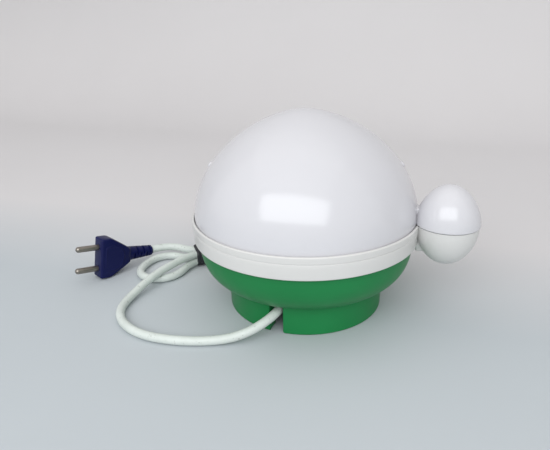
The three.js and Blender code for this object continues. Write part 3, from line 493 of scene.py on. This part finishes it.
def far_fold(side, start_z, end_z):
    """One far fold: out along the outer line, round, and back inside it at another height."""
    rise = end_z - start_z
    points = [on_hank(along, side * outer_neck(along), start_z) for along in (11, 19, 26)]
    turn = [
        *[(BUNDLE_RADIUS, angle, 0) for angle in (130, 104, 78, 52)],
        (25.8, 26, 0), (23.4, 0, 0), (21.2, -28, 0.24), (FOLD_INNER, -58, 0.78),
        (FOLD_INNER, -90, 1), (FOLD_INNER, -122, 1),
    ]
    for radius, angle, share in turn:
        along, across = polar(radius, angle)
        points.append(on_hank(50 + along, side * across, start_z + rise * share))
    points += [on_hank(along, -side * inner_neck(along), end_z) for along in (32, 24, 15, 8)]
    return points


def left_fold():
    points = [(-126.4, 26.9, 4.7), (-130.6, 20.2, 4.4), (-132.3, 12, 3.7)]
    low_arc = [(angle, 3.5) for angle in (0, -30, -60, -90, -120, -150, -180)]
    high_arc = [(angle, 14) for angle in (180, 150, 120, 90)]
    for angle, middle_y in low_arc + high_arc:
        x, y = polar(LEFT_FOLD_RADIUS, angle)
        points.append((LEFT_FOLD_X + x, middle_y + y, LOW))
    return points + [(-142.4, 30.4, 3.8), (-134, 30.9, 4.5)]


ROUTE = (
    RUN
    + [(-120.4, 31.4, 11.4)]
    + far_fold(1, HIGH, LOW)
    + [(-120.4, 31.4, 4.7)]
    + left_fold()
    + [(-125.4, 36.3, 4.7)]
    + far_fold(-1, LOW, HIGH)
    + tail()
)


def smooth_route(points, step):
    """A centripetal curve through the points, at even steps, with its small ripples eased out."""
    places = [Vector(point) for point in points]
    places = [places[0] * 2 - places[1]] + places + [places[-1] * 2 - places[-2]]
    fine = []
    for index in range(1, len(places) - 2):
        fine += [span_point(places[index - 1 : index + 3], part / 24) for part in range(24)]
    fine.append(places[-2])
    even = evenly(fine, step)
    for _ in range(EASING_PASSES):
        even[2:-2] = [
            (even[i - 1] + even[i + 1]) * 0.25 + even[i] * 0.5 for i in range(2, len(even) - 2)
        ]
    return even


def span_point(four, share):
    """A point between the middle two of four places, on the centripetal curve through them."""
    knots = [0.0]
    for before, after in zip(four, four[1:]):
        knots.append(knots[-1] + max((after - before).length, 1e-6) ** 0.5)
    t = knots[1] + (knots[2] - knots[1]) * share

    def between(first, second, low, high):
        return first.lerp(second, (t - knots[low]) / (knots[high] - knots[low]))

    legs = [between(four[i], four[i + 1], i, i + 1) for i in range(3)]
    arcs = [between(legs[i], legs[i + 1], i, i + 2) for i in range(2)]
    return between(arcs[0], arcs[1], 1, 2)


def evenly(line, step):
    """The same line at even steps along its length."""
    lengths = [0.0]
    for before, after in zip(line, line[1:]):
        lengths.append(lengths[-1] + (after - before).length)
    count = round(lengths[-1] / step)
    even = []
    index = 0
    for place in range(count + 1):
        target = lengths[-1] * place / count
        while index < len(line) - 2 and lengths[index + 1] < target:
            index += 1
        share = (target - lengths[index]) / max(lengths[index + 1] - lengths[index], 1e-9)
        even.append(line[index].lerp(line[index + 1], min(share, 1)))
    return even


cord_line = smooth_route(ROUTE, 2.5)


def make_cord():
    curve = bpy.data.curves.new("cord", "CURVE")
    curve.dimensions = "3D"
    curve.bevel_depth = CORD_DIAMETER / 2 * MM
    curve.bevel_resolution = 6
    curve.use_fill_caps = True
    spline = curve.splines.new("POLY")
    spline.points.add(len(cord_line) - 1)
    for point, place in zip(spline.points, cord_line):
        point.co = (*(place * MM), 1)
    spline.use_smooth = True
    replaced = ("cord_run", "cord_loop", "cord_tail", "cord_hank")
    return new_piece("cord", curve, "cord_pvc", "base", *replaced)


cord = make_cord()

# ---------------------------------------------------------------- plug

PLUG_AZIMUTH = 62
PLUG_DIP = 10.3
PLUG_HEIGHT = 35.3
PLUG_THICKNESS = 13.7
PLUG_SHOULDER = 9.5
PLUG_NECK = 6.5
PLUG_LENGTH = 28
PIN_SPACING = 19
PIN_RADIUS = 2.5
BOOT_SLOT_PITCH = 3.2
BOOT_FIRST_SLOT = 4.6
BOOT_SLOTS = 6
BOOT_SLOT_DEPTH = 1.25
PIN_LENGTH = 20
BOOT_END = 52
BOOT_TIP = Vector((-174.5, 25.5, 9.7))


def plug_frame():
    """The plug's own frame: X from the pins to the boot, Y up its broad face, Z out of it."""
    azimuth = math.radians(PLUG_AZIMUTH)
    dip = math.radians(PLUG_DIP)
    level = math.cos(dip)
    along = Vector((math.cos(azimuth) * level, math.sin(azimuth) * level, -math.sin(dip)))
    outward = Vector((math.sin(azimuth), -math.cos(azimuth), 0))
    upward = outward.cross(along)
    turn = Matrix((along, upward, outward)).transposed().to_4x4()
    return Matrix.Translation(BOOT_TIP - along * BOOT_END) @ turn


PLUG_FRAME = plug_frame()


def placed(points, place):
    return [tuple(place @ Vector(point)) for point in points]


def rounded_outline(half_y, half_z, corner, steps=5):
    """A rectangle with rounded corners, as (y, z) pairs."""
    points = []
    for sign_y, sign_z, start in ((1, 1, 0), (-1, 1, 90), (-1, -1, 180), (1, -1, 270)):
        middle = (sign_y * (half_y - corner), sign_z * (half_z - corner))
        points += arc_points(middle, corner, start, start + 90, steps)
    return points


def plug_section(x, inset, corner):
    """One cut across the plug: full height to the shoulders, then a straight taper to the neck."""
    past = max(0.0, x - PLUG_SHOULDER) / (PLUG_LENGTH - PLUG_SHOULDER)
    half_y = PLUG_HEIGHT / 2 + (PLUG_NECK - PLUG_HEIGHT / 2) * past - inset
    half_z = PLUG_THICKNESS / 2 - 0.6 * past - inset
    ring = [(x, y, z) for y, z in rounded_outline(half_y, half_z, corner)]
    return placed(ring, PLUG_FRAME)


def make_plug():
    stations = [(0, 1.3, 0.7), (0.25, 0.6, 1.0), (0.7, 0.2, 1.3), (1.4, 0, 1.5), (4, 0, 1.5)]
    for past, inset in ((-1.5, 0), (0, 0.25), (1.5, 0.05)):
        stations.append((PLUG_SHOULDER + past, inset, 1.5))
    stations += [(x, 0, 1.6) for x in (14, 18, 22, 25)]
    stations += [(PLUG_LENGTH - 0.5, 0.1, 1.8), (PLUG_LENGTH, 0.6, 1.8)]
    body = lofted("plug_shell", [plug_section(*station) for station in stations], sharp_degrees=60)
    shell = new_piece("plug_shell", body, "plug_blue", "base", "plug_body")
    return [shell, make_grip(), make_boot(), *make_pins()]


def make_grip():
    """A low D-shaped grip moulded on the broad face, its straight side towards the pins."""
    rings = []
    outline = ((11.4, -0.3), (11.2, 0.12), (10.7, 0.3), (10.2, 0.3), (9.7, 0.1), (9, 0.05))
    for reach, lift in outline:
        ring = []
        for step in range(72):
            x, y = polar(reach, 5 * step)
            ring.append((max(x, -7 + (11.4 - reach)) + 10.4, y * 1.04, PLUG_THICKNESS / 2 + lift))
        rings.append(placed(ring, PLUG_FRAME))
    grip = lofted("plug_grip", rings, sharp_degrees=60)
    return new_piece("plug_grip", grip, "plug_blue", "base")


def boot_radius(x, azimuth):
    """The tapering boot, with short slots cut by turns into its upper and its lower half."""
    along = (x - PLUG_LENGTH) / (BOOT_END - PLUG_LENGTH)
    radius = 6.2 - 1.7 * along
    slot = (x - PLUG_LENGTH - BOOT_FIRST_SLOT) / BOOT_SLOT_PITCH
    nearest = round(slot)
    inside = abs(slot - nearest) * BOOT_SLOT_PITCH < 0.75 and 0 <= nearest < BOOT_SLOTS
    side = 1 if nearest % 2 else -1
    if inside and side * math.sin(math.radians(azimuth)) > -0.2:
        radius -= BOOT_SLOT_DEPTH
    return radius


def make_boot():
    edges = [PLUG_LENGTH - 0.6, PLUG_LENGTH + 0.5]
    for slot in range(BOOT_SLOTS):
        middle = PLUG_LENGTH + BOOT_FIRST_SLOT + slot * BOOT_SLOT_PITCH
        edges += [middle - 0.95, middle - 0.7, middle + 0.7, middle + 0.95]
    edges += [BOOT_END - 0.8, BOOT_END]
    sections = []
    for x in edges:
        ring = []
        for side in range(48):
            azimuth = 7.5 * side
            reach = boot_radius(x, azimuth) - (0.7 if x == BOOT_END else 0)
            across, up = polar(reach, azimuth)
            ring.append((x, up * 1.04, across * 0.98))
        sections.append(placed(ring, PLUG_FRAME))
    boot = lofted("boot_slotted", sections, sharp_degrees=35)
    return new_piece("boot_slotted", boot, "plug_blue", "base", "plug_boot")


def make_pins():
    pins = []
    for index, side in enumerate((1, -1)):
        profile = [(0.4, PIN_RADIUS), (-PIN_LENGTH + 2.2, PIN_RADIUS)]
        for angle in (0.4, 0.8, 1.2, 1.5):
            tip_x = -PIN_LENGTH + 2.2 * (1 - math.sin(angle))
            profile.append((tip_x, PIN_RADIUS * math.cos(angle)))
        sections = []
        for x, radius in profile:
            ring = []
            for step in range(28):
                across, up = polar(radius, 360 * step / 28)
                ring.append((x, side * PIN_SPACING / 2 + across, up))
            sections.append(placed(ring, PLUG_FRAME))
        name = f"pin_{index + 1}"
        mesh = lofted(name, sections, sharp_degrees=40)
        pins.append(new_piece(name, mesh, "pin_nickel", "base", f"plug_pin_{index + 1}"))
    return pins


plug_pieces = make_plug()

# ---------------------------------------------------------------- tie


def make_tie():
    """A soft black band pulled round the four strands, its turns bunched and slightly uneven."""
    sections = []
    steps = 96
    for step in range(steps):
        angle = 2 * math.pi * step / steps
        wave = 0.25 * math.sin(3 * angle + 0.6) + 0.18 * math.sin(7 * angle)
        band = []
        for along, lift in band_outline():
            swell = lift + wave
            cosine = math.cos(angle)
            sine = math.sin(angle)
            half_across = 8.9 + swell
            half_up = 7.3 + swell
            across = -0.3 + abs(cosine) ** 0.62 * math.copysign(half_across, cosine)
            up = 8.05 + abs(sine) ** 0.62 * math.copysign(half_up, sine)
            shift = 0.5 * math.sin(2 * angle + 1)
            band.append(beside(TIE_POINT, TIE_AZIMUTH, along + shift, across, max(up, 0.05)))
        sections.append(band)
    sections.append(sections[0])
    mesh = lofted("tie_band", sections, closed_ends=False, sharp_degrees=70)
    return new_piece("tie_band", mesh, "tie_black", "base", "cord_tie")


def band_outline():
    """The band's cut: a flat inside, and three rolled turns outside."""
    outline = [(-5.6, 0), (4, 0)]
    for turn in (2, -1, -4):
        outline += [(turn + 1.6, 0.45), (turn + 0.7, 0.95), (turn - 0.5, 0.95), (turn - 1.2, 0.5)]
    return outline


tie = make_tie()

# ---------------------------------------------------------------- lid


def cap_profile(radius, rise, base_z, height_power, radius_power, steps):
    """Points on a cap from its rim to its top on the axis."""
    points = []
    for step in range(steps + 1):
        angle = math.pi / 2 * step / steps
        height = math.sin(angle) ** (2 / height_power)
        reach = 0 if step == steps else math.cos(angle) ** (2 * radius_power)
        points.append((radius * reach, base_z + rise * height))
    return points


def dome_profile(inset, steps):
    return cap_profile(
        LID_RADIUS - inset, LID_RISE - inset, LIP_Z, LID_HEIGHT_POWER, LID_RADIUS_POWER, steps
    )


def make_lid():
    outer = dome_profile(0, 60)
    inner = dome_profile(LID_WALL, 40)
    inner_radius = LID_RADIUS - LID_WALL
    profile = [
        *reversed(inner),
        (inner_radius, LID_SKIRT_Z + 0.5),
        (inner_radius + 0.4, LID_SKIRT_Z),
        (LID_RADIUS - 0.5, LID_SKIRT_Z),
        (LID_RADIUS, LID_SKIRT_Z + 0.6),
        *outer,
    ]
    shell = turned("lid_shell", profile, facets=192)
    new_piece("lid_shell", shell, "lid_gloss_white", "lid", "lid_dome")
    make_upper_lug()
    for azimuth in (14, -166):
        make_vent(azimuth)


def make_upper_lug():
    height_power = 1.755
    radius_power = 0.536
    base = LIP_Z + GAP
    outer = cap_profile(LUG_TOP_RADIUS, LUG_TOP_RISE, base, height_power, radius_power, 40)
    inner = cap_profile(
        LUG_TOP_RADIUS - LUG_WALL, LUG_TOP_RISE - LUG_WALL, base, height_power, radius_power, 30
    )
    edge = [(LUG_TOP_RADIUS - LUG_WALL + 0.3, base), (LUG_TOP_RADIUS - 0.25, base)]
    profile = [*reversed(inner[1:]), (inner[0][0], base + 0.3), *edge]
    profile += [(LUG_TOP_RADIUS, base + 0.3), *outer[1:]]
    middle = (AXIS_X + LUG_OFFSET, 0)
    shell = turned("lug_upper", profile, middle, facets=128)
    new_piece("lug_upper", shell, "lid_gloss_white", "lid")
    rounded_block(
        "lug_web_upper", (80.9, -5, base), (90, 5, LIP_Z + 10.5), 0.6, "lid_gloss_white", "lid",
        0, (AXIS_X, 0),
    )


def dome_radius(rise):
    return LID_RADIUS * (1 - (rise / LID_RISE) ** LID_HEIGHT_POWER) ** LID_RADIUS_POWER


def level_ring(radius, z, place):
    return placed([(*polar(radius, 360 * side / 32), z) for side in range(32)], place)


def make_vent(azimuth):
    """A small steam vent: a raised rim round a fine hole, with a black disc of painted shade across
    its mouth.
    """
    rise = VENT_RISE
    slope = (dome_radius(rise + 0.1) - dome_radius(rise - 0.1)) / 0.2
    out_x, out_y = polar(1, azimuth)
    normal = Vector((out_x, out_y, -slope)).normalized()
    foot = Vector((AXIS_X + out_x * dome_radius(rise), out_y * dome_radius(rise), LIP_Z + rise))
    place = Matrix.Translation(foot) @ normal.to_track_quat("Z", "X").to_matrix().to_4x4()
    profile = [(2.9, -0.5), (2.5, 0.1), (2.35, 0.6), (2.05, 0.95), (1.6, 0.95), (1.2, 0.7)]
    profile += [(1, 0), (1, -2.4)]
    sections = [level_ring(radius, z, place) for radius, z in profile]
    name = f"steam_vent_{'front' if azimuth > 0 else 'back'}"
    mesh = lofted(name, sections, closed_ends=False, sharp_degrees=60)
    new_piece(name, mesh, "lid_gloss_white", "lid")
    # Painted shade: a thin black disc laid across the hole's mouth stands in for the dark inside of
    # the hole.
    dark = [level_ring(0.98, 0.05, place), level_ring(1, 0.1, place)]
    bore = lofted(name + "_hole_shade", dark, sharp_degrees=60)
    new_piece(name + "_hole_shade", bore, "phenolic_black", "lid")


make_lid()

# ---------------------------------------------------------------- rim ring


def make_ring():
    well = 83.2
    skirt = 81
    shelf = 69.2
    foot = 55.4
    profile = [
        (shelf, 66), (shelf, BOWL_TOP_Z + GAP), (skirt, BOWL_TOP_Z + GAP), (skirt, foot + 0.5),
        (skirt + 0.5, foot),
        *arc_points((RING_RADIUS - 1.9, foot + 1.1), 1.1, -90, 0, 5),
        (RING_RADIUS - 0.42, LIP_Z - 8), (RING_RADIUS - 0.32, LIP_Z - 5.7),
        *arc_points((RING_RADIUS - 0.3, LIP_Z - 5.15), 0.3, -110, -250, 5),
        (RING_RADIUS - 0.05, LIP_Z - 4.7), (RING_RADIUS, LIP_Z - 4.3), (RING_RADIUS, LIP_Z - 1),
        *arc_points((RING_RADIUS - 0.9, LIP_Z - 0.9), 0.9, 0, 90, 6),
        (well + 0.4, LIP_Z), (well, LIP_Z - 0.4), (well, 66),
    ]
    ring = turned("ring_band", profile, closed=True, facets=192, sharp_degrees=50)
    new_piece("ring_band", ring, "ring_satin_white", "base", "rim_ring")
    make_lower_lug()


def make_lower_lug():
    lug_foot = LIP_Z - LUG_LOW_DROP
    outer = []
    inner = []
    depth = LUG_LOW_TOP - lug_foot
    radius = LUG_LOW_RADIUS - LUG_WALL
    for step in range(41):
        angle = math.pi / 2 * step / 40
        sine = math.sin(angle)
        cosine = math.cos(angle)
        outer.append((LUG_LOW_RADIUS * sine, LUG_LOW_TOP - depth * cosine))
        inner.append((radius * sine, LUG_LOW_TOP - (depth - LUG_WALL) * cosine))
    edge = [
        (LUG_LOW_RADIUS, LUG_LOW_TOP - 0.3), (LUG_LOW_RADIUS - 0.3, LUG_LOW_TOP),
        (LUG_LOW_RADIUS - LUG_WALL + 0.3, LUG_LOW_TOP),
    ]
    profile = [*outer[:-1], *edge, *reversed(inner[:-1])]
    middle = (AXIS_X + LUG_OFFSET, 0)
    shell = turned("lug_lower", profile, middle, facets=128)
    new_piece("lug_lower", shell, "ring_satin_white", "base")
    rounded_block(
        "lug_web_lower", (82.6, -5, LIP_Z - 21.5), (91.5, 5, LIP_Z - 0.6), 1.2,
        "ring_satin_white", "base", 0, (AXIS_X, 0),
    )


make_ring()

# ---------------------------------------------------------------- bowl


def bowl_point(angle):
    depth = max(math.sin(angle), 0) ** (2 / BOWL_HEIGHT_POWER)
    reach = math.cos(angle) ** (2 * BOWL_RADIUS_POWER)
    return Vector((BOWL_RADIUS * reach, BOWL_TURN_Z - BOWL_DEPTH * depth))


def bowl_curve(inset, last_angle, steps):
    """The bowl's curve from its upright top towards the floor, moved in along its normal."""
    points = []
    for step in range(1, steps + 1):
        angle = last_angle * step / steps
        along = (bowl_point(angle + 0.002) - bowl_point(angle - 0.002)).normalized()
        point = bowl_point(angle)
        points.append((point.x + along.y * inset, point.y - along.x * inset))
    return points


def make_bowl():
    outer = bowl_curve(0, 0.9252, 48)
    inner = bowl_curve(BOWL_WALL, 0.8905, 36)
    top_inner = BOWL_RADIUS - BOWL_WALL
    profile = [
        *reversed(outer),
        (BOWL_RADIUS, BOWL_TURN_Z), (BOWL_RADIUS, BOWL_TOP_Z - 0.4),
        (BOWL_RADIUS - 0.4, BOWL_TOP_Z),
        (top_inner + 0.4, BOWL_TOP_Z), (top_inner, BOWL_TOP_Z - 0.4), (top_inner, BOWL_TURN_Z),
        *inner,
        (FLOOR_OPENING + 0.4, FLOOR_TOP_Z), (FLOOR_OPENING, FLOOR_TOP_Z - 0.4),
        (FLOOR_OPENING, FLOOR_Z + 0.4), (FLOOR_OPENING + 0.4, FLOOR_Z),
    ]
    shell = turned("bowl_shell", profile, closed=True, facets=192)
    new_piece("bowl_shell", shell, "bowl_green", "base", "base_bowl")
    make_foot()
    for azimuth in (45, 135, 225, 315):
        make_boss("ring_boss", azimuth, 76, 3.6, 1.7, 50, BOWL_TOP_Z)
    for azimuth in (85, 205, 325):
        make_boss("cover_boss", azimuth, 37, 3.8, 0, FLOOR_TOP_Z - 0.5, 28.5)
    for azimuth in (25, 145, 265):
        make_boss("shield_post", azimuth, 46, 3.2, 1.5, FLOOR_TOP_Z - 0.5, 29.7)


def foot_wall(outer, inner, low, high):
    """The foot wall's cut, its lower edges rounded, as (radius, z) pairs."""
    return [
        (inner, high), (inner, low + 0.6), *arc_points((inner + 0.6, low + 0.6), 0.6, 180, 270, 4),
        *arc_points((outer - 0.9, low + 0.9), 0.9, 270, 360, 5), (outer, high),
    ]


def make_foot():
    """The foot ring from one side of the cord slot round to the other, with rounded slot edges."""
    half_angle = math.degrees(SLOT_HALF_WIDTH / (FOOT_RADIUS - FOOT_WALL / 2))
    start = SLOT_AZIMUTH + half_angle
    sweep = 360 - 2 * half_angle
    steps = 176
    ease = [(0, 0.6), (0.1, 0.3), (0.3, 0.1), (0.6, 0), (0.95, 0), (1.3, 0)]
    places = list(ease)
    places += [(2 + (sweep - 4) * step / steps, 0) for step in range(steps + 1)]
    places += [(sweep - angle, back) for angle, back in reversed(ease)]
    sections = []
    for angle, back in places:
        near_slot = max(0.0, 1 - angle / 1.3)
        lift = 1.3 * (1 - math.sqrt(max(0.0, 1 - near_slot**2)))
        inner = FOOT_RADIUS - FOOT_WALL + back
        section = []
        for radius, z in foot_wall(FOOT_RADIUS - back, inner, lift, FLOOR_Z + 0.2):
            x, y = polar(radius, start + angle)
            section.append((AXIS_X + x, y, z))
        sections.append(section)
    mesh = lofted("foot_ring", sections, sharp_degrees=50)
    new_piece("foot_ring", mesh, "bowl_green", "base")
    rounded_block(
        "slot_cheek", (47.8, -7, 0.1), (57.5, -5, FLOOR_Z + 0.2), 0.5, "bowl_green", "base",
        SLOT_AZIMUTH, (AXIS_X, 0),
    )


def make_boss(name, azimuth, reach, radius, bore, low, high):
    x, y = polar(reach, azimuth)
    if bore:
        rim = [(radius - 0.4, high), (bore + 0.3, high), (bore, high - 0.3)]
        rim += [(bore, low + 3), (0, low + 3)]
    else:
        rim = [(radius - 0.5, high), (0, high)]
    profile = [(radius + 0.5, low), (radius, low + 0.8), (radius, high - 0.4), *rim]
    mesh = turned(f"{name}_{azimuth}", profile, (AXIS_X + x, y), facets=32)
    new_piece(f"{name}_{azimuth}", mesh, "bowl_green", "base")


make_bowl()

# ---------------------------------------------------------------- pan and tray


def make_pan():
    sheet = 0.8
    floor = 46.5
    flange = 67.5
    profile = [
        (0, floor), (59, floor), *arc_points((60, 53.2), 6.7, -80, -8, 8),
        (68.3, flange - 0.8), (68.45, flange - 0.3), (68.9, flange), (79.3, flange),
        *arc_points((79.2, flange + 0.4), 0.4, -90, 90, 5),
        (68.9, flange + sheet), (68.1, flange + 0.6), (67.5, flange - 0.2),
        *arc_points((60, 53.2), 5.9, -8, -80, 8), (59, floor + sheet),
        (24, floor + sheet), (22.5, floor + sheet + 0.35), (20, floor + sheet + 0.35),
        (18.5, floor + sheet),
        (0, floor + sheet),
    ]
    pan = turned("pan_bowl", profile, facets=160)
    new_piece("pan_bowl", pan, "pan_stainless", "base", "heating_pan")


def egg_holes():
    return [(0, 0)] + [polar(45.5, azimuth) for azimuth in (0, 60, 120, 180, 240, 300)]


def tray_deck():
    """The deck as a flat plate with seven round holes, filled between its edges."""
    made = bmesh.new()
    loops = [(0, 0, 65.5, 160)] + [(x, y, 18.2, 64) for x, y in egg_holes()]
    edges = []
    for x, y, radius, count in loops:
        ring = []
        for index in range(count):
            out_x, out_y = polar(radius, 360 * index / count)
            ring.append(made.verts.new((AXIS_X + x + out_x, y + out_y, 62.3)))
        for index in range(count):
            edges.append(made.edges.new((ring[index], ring[(index + 1) % count])))
    bmesh.ops.triangle_fill(made, edges=edges, use_beauty=True, use_dissolve=False)
    for face in list(made.faces):
        middle = face.calc_center_median() - Vector((AXIS_X, 0, 0))
        if any(math.hypot(middle.x - x, middle.y - y) < 17.9 for x, y in egg_holes()):
            made.faces.remove(face)
    for face in made.faces:
        if face.normal.z < 0:
            face.normal_flip()
    top = bmesh.ops.extrude_face_region(made, geom=list(made.faces))
    for vert in [item for item in top["geom"] if isinstance(item, bmesh.types.BMVert)]:
        vert.co.z -= 1.8
    bmesh.ops.scale(made, vec=(MM, MM, MM), verts=made.verts)
    mesh = bpy.data.meshes.new("tray_deck")
    made.to_mesh(mesh)
    made.free()
    return soften(mesh, 40)


def make_tray():
    profile = [
        (64.7, 60.5), *arc_points((64.9, 62), 1.5, -90, -10, 6), (66.7, 68.6), (72, 68.6),
        *arc_points((71.6, 69.5), 0.9, -50, 90, 6), (66.4, 70.4),
        *arc_points((66.2, 69.4), 1, 90, 170, 4),
        (64.7, 62.6),
    ]
    rim = turned("tray_rim", profile, closed=True, facets=160)
    new_piece("tray_rim", rim, "tray_ivory", "tray", "egg_tray")
    new_piece("tray_deck", tray_deck(), "tray_ivory", "tray")
    for index, (x, y) in enumerate(egg_holes()):
        collar = [
            (17.5, 60.5), (18.9, 60.5), (18.9, 63.1), *arc_points((18.2, 63.2), 0.7, 0, 180, 6),
            (17.5, 63.1),
        ]
        name = f"egg_collar_{index + 1}"
        mesh = turned(name, collar, (AXIS_X + x, y), closed=True, facets=64)
        new_piece(name, mesh, "tray_ivory", "tray")
    for azimuth in (30, 210):
        rounded_block(
            f"tray_finger_{azimuth}", (61.8, -7, 61.9), (63.8, 7, 77.4), 0.8, "tray_ivory", "tray",
            azimuth, (AXIS_X, 0),
        )


make_pan()
make_tray()

# ---------------------------------------------------------------- carried-over CAD nodes


def finish_cad_nodes():
    """Every CAD node that still shows gets its slot's material, and smooth faces split at edges."""
    for name, node in nodes.items():
        if node.hide_render or node.get("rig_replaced"):
            continue
        node.data.materials.clear()
        node.data.materials.append(MATERIALS[SLOT_OF[name]])
        if "custom_normal" in node.data.attributes:
            node.data.attributes.remove(node.data.attributes["custom_normal"])
        for face in node.data.polygons:
            face.use_smooth = True
        weld = node.modifiers.new("weld", "WELD")
        weld.merge_threshold = 0.005 * MM
        split = node.modifiers.new("edges", "EDGE_SPLIT")
        split.split_angle = math.radians(35)


finish_cad_nodes()

# ---------------------------------------------------------------- stage and light


def stage_material():
    """Pale paper, cooler on the table in front and warmer where it runs back to the wall."""
    made = Nodes("table_paper")
    split = made.add("ShaderNodeSeparateXYZ")
    made.link(made.coordinates, split.inputs["Vector"])
    depth = made.span(split.outputs["Y"], -0.02, 0.14, 0, 1)
    drift = made.noise(2.2, 3)
    table = made.ramp(drift, [(0.35, (0.475, 0.515, 0.54)), (0.65, (0.50, 0.54, 0.565))])
    wall = made.ramp(drift, [(0.35, (0.645, 0.632, 0.638)), (0.65, (0.665, 0.652, 0.658))])
    made.color(made.mix(depth, table, wall))
    made.roughness(made.noise(5, 3), 0.7, 0.8)
    return made.material


def make_stage():
    """A pale table that turns up into a wall well behind the object."""
    profile = [(-7.0, 0), (0.55, 0)]
    for step in range(1, 25):
        angle = math.pi / 2 * step / 24
        profile.append((0.55 + 0.35 * math.sin(angle), 0.35 - 0.35 * math.cos(angle)))
    profile.append((0.9, 6))
    points = []
    for x in (-7, 7):
        points += [(x, y, z - 0.0002) for y, z in profile]
    rows = len(profile)
    faces = [(row, row + 1, rows + row + 1, rows + row) for row in range(rows - 1)]
    mesh = bpy.data.meshes.new("backdrop")
    mesh.from_pydata(points, [], faces)
    for face in mesh.polygons:
        face.use_smooth = True
    backdrop = bpy.data.objects.new("backdrop", mesh)
    scene.collection.objects.link(backdrop)
    mesh.materials.append(stage_material())


def area_light(name, place, target, size, power, color=(1, 1, 1)):
    data = bpy.data.lights.new(name, "AREA")
    data.shape = "RECTANGLE"
    data.size, data.size_y = size
    data.energy = power
    data.color = color
    light = bpy.data.objects.new(name, data)
    scene.collection.objects.link(light)
    light.location = place
    light.rotation_euler = (Vector(target) - Vector(place)).to_track_quat("-Z", "Y").to_euler()


def make_light():
    world = bpy.data.worlds.new("room")
    scene.world = world
    world.use_nodes = True
    world.node_tree.nodes["Background"].inputs["Color"].default_value = (1, 0.99, 0.985, 1)
    world.node_tree.nodes["Background"].inputs["Strength"].default_value = 0.7
    area_light("window", (0.05, -1.35, 1.0), (0, 0, 0.08), (2.0, 0.85), 19, (0.95, 0.975, 1))
    area_light("overhead", (-0.2, 0.0, 2.2), (0, 0, 0), (3.0, 3.0), 10, (1, 0.99, 0.97))
    scene.view_settings.view_transform = "Standard"


make_stage()
make_light()
